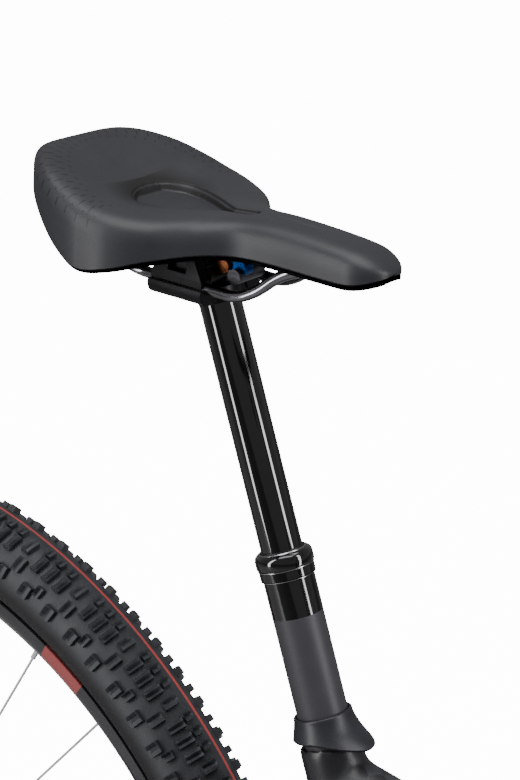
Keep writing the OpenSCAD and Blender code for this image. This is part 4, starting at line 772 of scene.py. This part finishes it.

# thin red line beside the crown, the tyre's side darker towards the rim, a short red patch on the rim and a painted
# highlight along the rim's inner edge, measured from either axle in metres
paint = {
    "line": (0.0059, 0.0083, 0.0003), "lineRadius": (0.36, 0.3662), "wallRadius": (0.345, 0.335), "wall": 0.8,
    "patchAngle": (0.963, 1.082, 0.001), "patchSide": (0.0125, 0.018, 0.0005),
    "innerEdgeHighlight": (0.2955, 0.2972, 0.0004), "edge": 0.7,
}
above, beneath = {"operation": "GREATER_THAN"}, {"operation": "LESS_THAN"}
for name in ("treadCompound", "lacqueredRim"):
    tree, places = made[name][1], made[name][3]
    placeX, placeY, placeZ = addNode(tree, "SeparateXYZ", inputs=[places]).outputs
    ahead = addNode(tree, "Math", above, [placeX, 0.0])
    centreX = addNode(tree, "Math", {"operation": "MULTIPLY_ADD"},
                      [ahead, frontCentre.x - rearCentre.x, rearCentre.x])
    fromX = addNode(tree, "Math", subtract, [placeX, centreX])
    fromZ = addNode(tree, "Math", subtract, [placeZ, rearCentre.z])
    radius = distanceFrom(tree, fromX, fromZ)
    if name == "treadCompound":
        low, high = paint["lineRadius"]
        crown = [addNode(tree, "Math", above, [radius, low]), addNode(tree, "Math", beneath, [radius, high])]
        paintOver(name, allOf(tree, [between(tree, placeY, *paint["line"]), *crown]), "#a8403f", 0.5)
        wall = addNode(tree, "MapRange", inputs=[radius, *paint["wallRadius"]])
        paintOver(name, allOf(tree, [wall, paint["wall"]]), "#171315")
    else:
        angle = addNode(tree, "Math", {"operation": "ARCTAN2"}, [fromZ, fromX])
        fromMiddle = addNode(tree, "Math", {"operation": "ABSOLUTE"}, [placeY])
        patch = between(tree, angle, *paint["patchAngle"])
        paintOver(name, allOf(tree, [patch, between(tree, fromMiddle, *paint["patchSide"])]), "#a04a48", 0.3)
        # painted highlight: a light grey, glossier band round the rim's inner edge, standing in for the light it
        # catches
        bright = between(tree, radius, *paint["innerEdgeHighlight"])
        paintOver(name, allOf(tree, [bright, paint["edge"]]), "#8c8c90", 0.15)

gripPiece = copyPart("gripsLook", "grips")
gripPiece.data.materials.clear()
finishPiece(gripPiece, "gripsLook", Matrix.Identity(4), "steering", [finish["gripCompound"]], ["grips"],
            merge=0.00002, turnFaces=False)
ribPitch = 0.0045
tree, shader, places = made["gripCompound"][1:4]
wave = addNode(tree, "TexWave", {"wave_type": "BANDS", "bands_direction": "Y"},
               {"Vector": places, "Scale": 1 / ribPitch / 20 * 6.2832 / 2, "Distortion": 0.6})
ribBump = addNode(tree, "Bump", inputs={"Strength": 0.8, "Distance": 0.8 * mm, "Height": wave,
                                        "Normal": shader.inputs["Normal"].links[0].from_socket})
tree.links.new(ribBump.outputs[0], shader.inputs["Normal"])

hose = copyPart("frontBrakeHose", "front_brake_hose")
hose.data.materials.clear()
finishPiece(hose, "frontBrakeHose", Matrix.Identity(4), None, [finish["cableSleeve"]], ["front_brake_hose"],
            angle=50, merge=0.00002, turnFaces=False)
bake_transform(hose)
print("cockpit made")

deselectAll()
bpy.ops.mesh.primitive_plane_add(size=30, location=(0, 0, 0))
floor = bpy.context.object
floor.name = "studioFloor"
floorMaterial, floorTree, floorShader, _, _ = newMaterial(
    "paintedFloor", dict(dark="#8f8f8f", light="#959595", patch=900, grain=20, rough=(0.7, 0.8), depth=0.02, bump=0.05))
floor.data.materials.append(floorMaterial)
studio = {
    "seenWhite": 14.0, "roomTone": 0.24, "sidePower": 34, "sideSize": (0.36, 2.4), "sideHeight": 1.25,
    "topPower": 60, "topSize": (2.2, 2.2), "topPlace": (-0.2, -0.2, 3.2),
}
# the floor shows white, as in a cut-out, and still reflects only a little light from below
floorShader.inputs["Emission Color"].default_value = (1, 1, 1, 1)
seen = addNode(floorTree, "LightPath").outputs["Is Camera Ray"]
glow = addNode(floorTree, "Math", multiply, [seen, studio["seenWhite"]])
floorTree.links.new(glow.outputs[0], floorShader.inputs["Emission Strength"])
world = bpy.data.worlds.new("studioWorld")
world.use_nodes = True
backdrop = world.node_tree.nodes["Background"]
seen = addNode(world.node_tree, "LightPath").outputs["Is Camera Ray"]
strength = addNode(world.node_tree, "MapRange", inputs={0: seen, 3: studio["roomTone"], 4: studio["seenWhite"]})
world.node_tree.links.new(strength.outputs[0], backdrop.inputs["Strength"])
backdrop.inputs["Color"].default_value = (1, 1, 1, 1)
bpy.context.scene.world = world


def addSoftBox(name, place, aim, power, size):
    light = bpy.data.lights.new(name, "AREA")
    light.shape = "RECTANGLE"
    light.size, light.size_y = size
    light.energy = power
    lamp = bpy.data.objects.new(name, light)
    bpy.context.collection.objects.link(lamp)
    lamp.location = place
    lamp.rotation_euler = (Vector(aim) - Vector(place)).to_track_quat("-Z", "Y").to_euler()


for name, ahead, across in (("leftSoftBox", -0.66, -1.78), ("rightSoftBox", 1.87, 0.32)):
    place = (railCentre.x + ahead, railCentre.y + across, studio["sideHeight"])
    addSoftBox(name, place, railCentre, studio["sidePower"], studio["sideSize"])
addSoftBox("topSoftBox", studio["topPlace"], railCentre, studio["topPower"], studio["topSize"])

view = {
    "place": (0.4408, -0.9166, 1.2667), "pitch": 70.68, "turn": 39.73, "lens": 95.8, "sensor": 36,
    "shift": (0.0907, 0.0004), "clip": (0.05, 60),
}
cameraData = bpy.data.cameras.new("camera")
cameraData.lens = view["lens"]
cameraData.sensor_width = view["sensor"]
cameraData.sensor_fit = "AUTO"
cameraData.shift_x, cameraData.shift_y = view["shift"]
cameraData.clip_start, cameraData.clip_end = view["clip"]
camera = bpy.data.objects.new("camera", cameraData)
bpy.context.collection.objects.link(camera)
camera.location = view["place"]
camera.rotation_euler = (math.radians(view["pitch"]), 0, math.radians(view["turn"]))
bpy.context.scene.camera = camera

print("scene made")
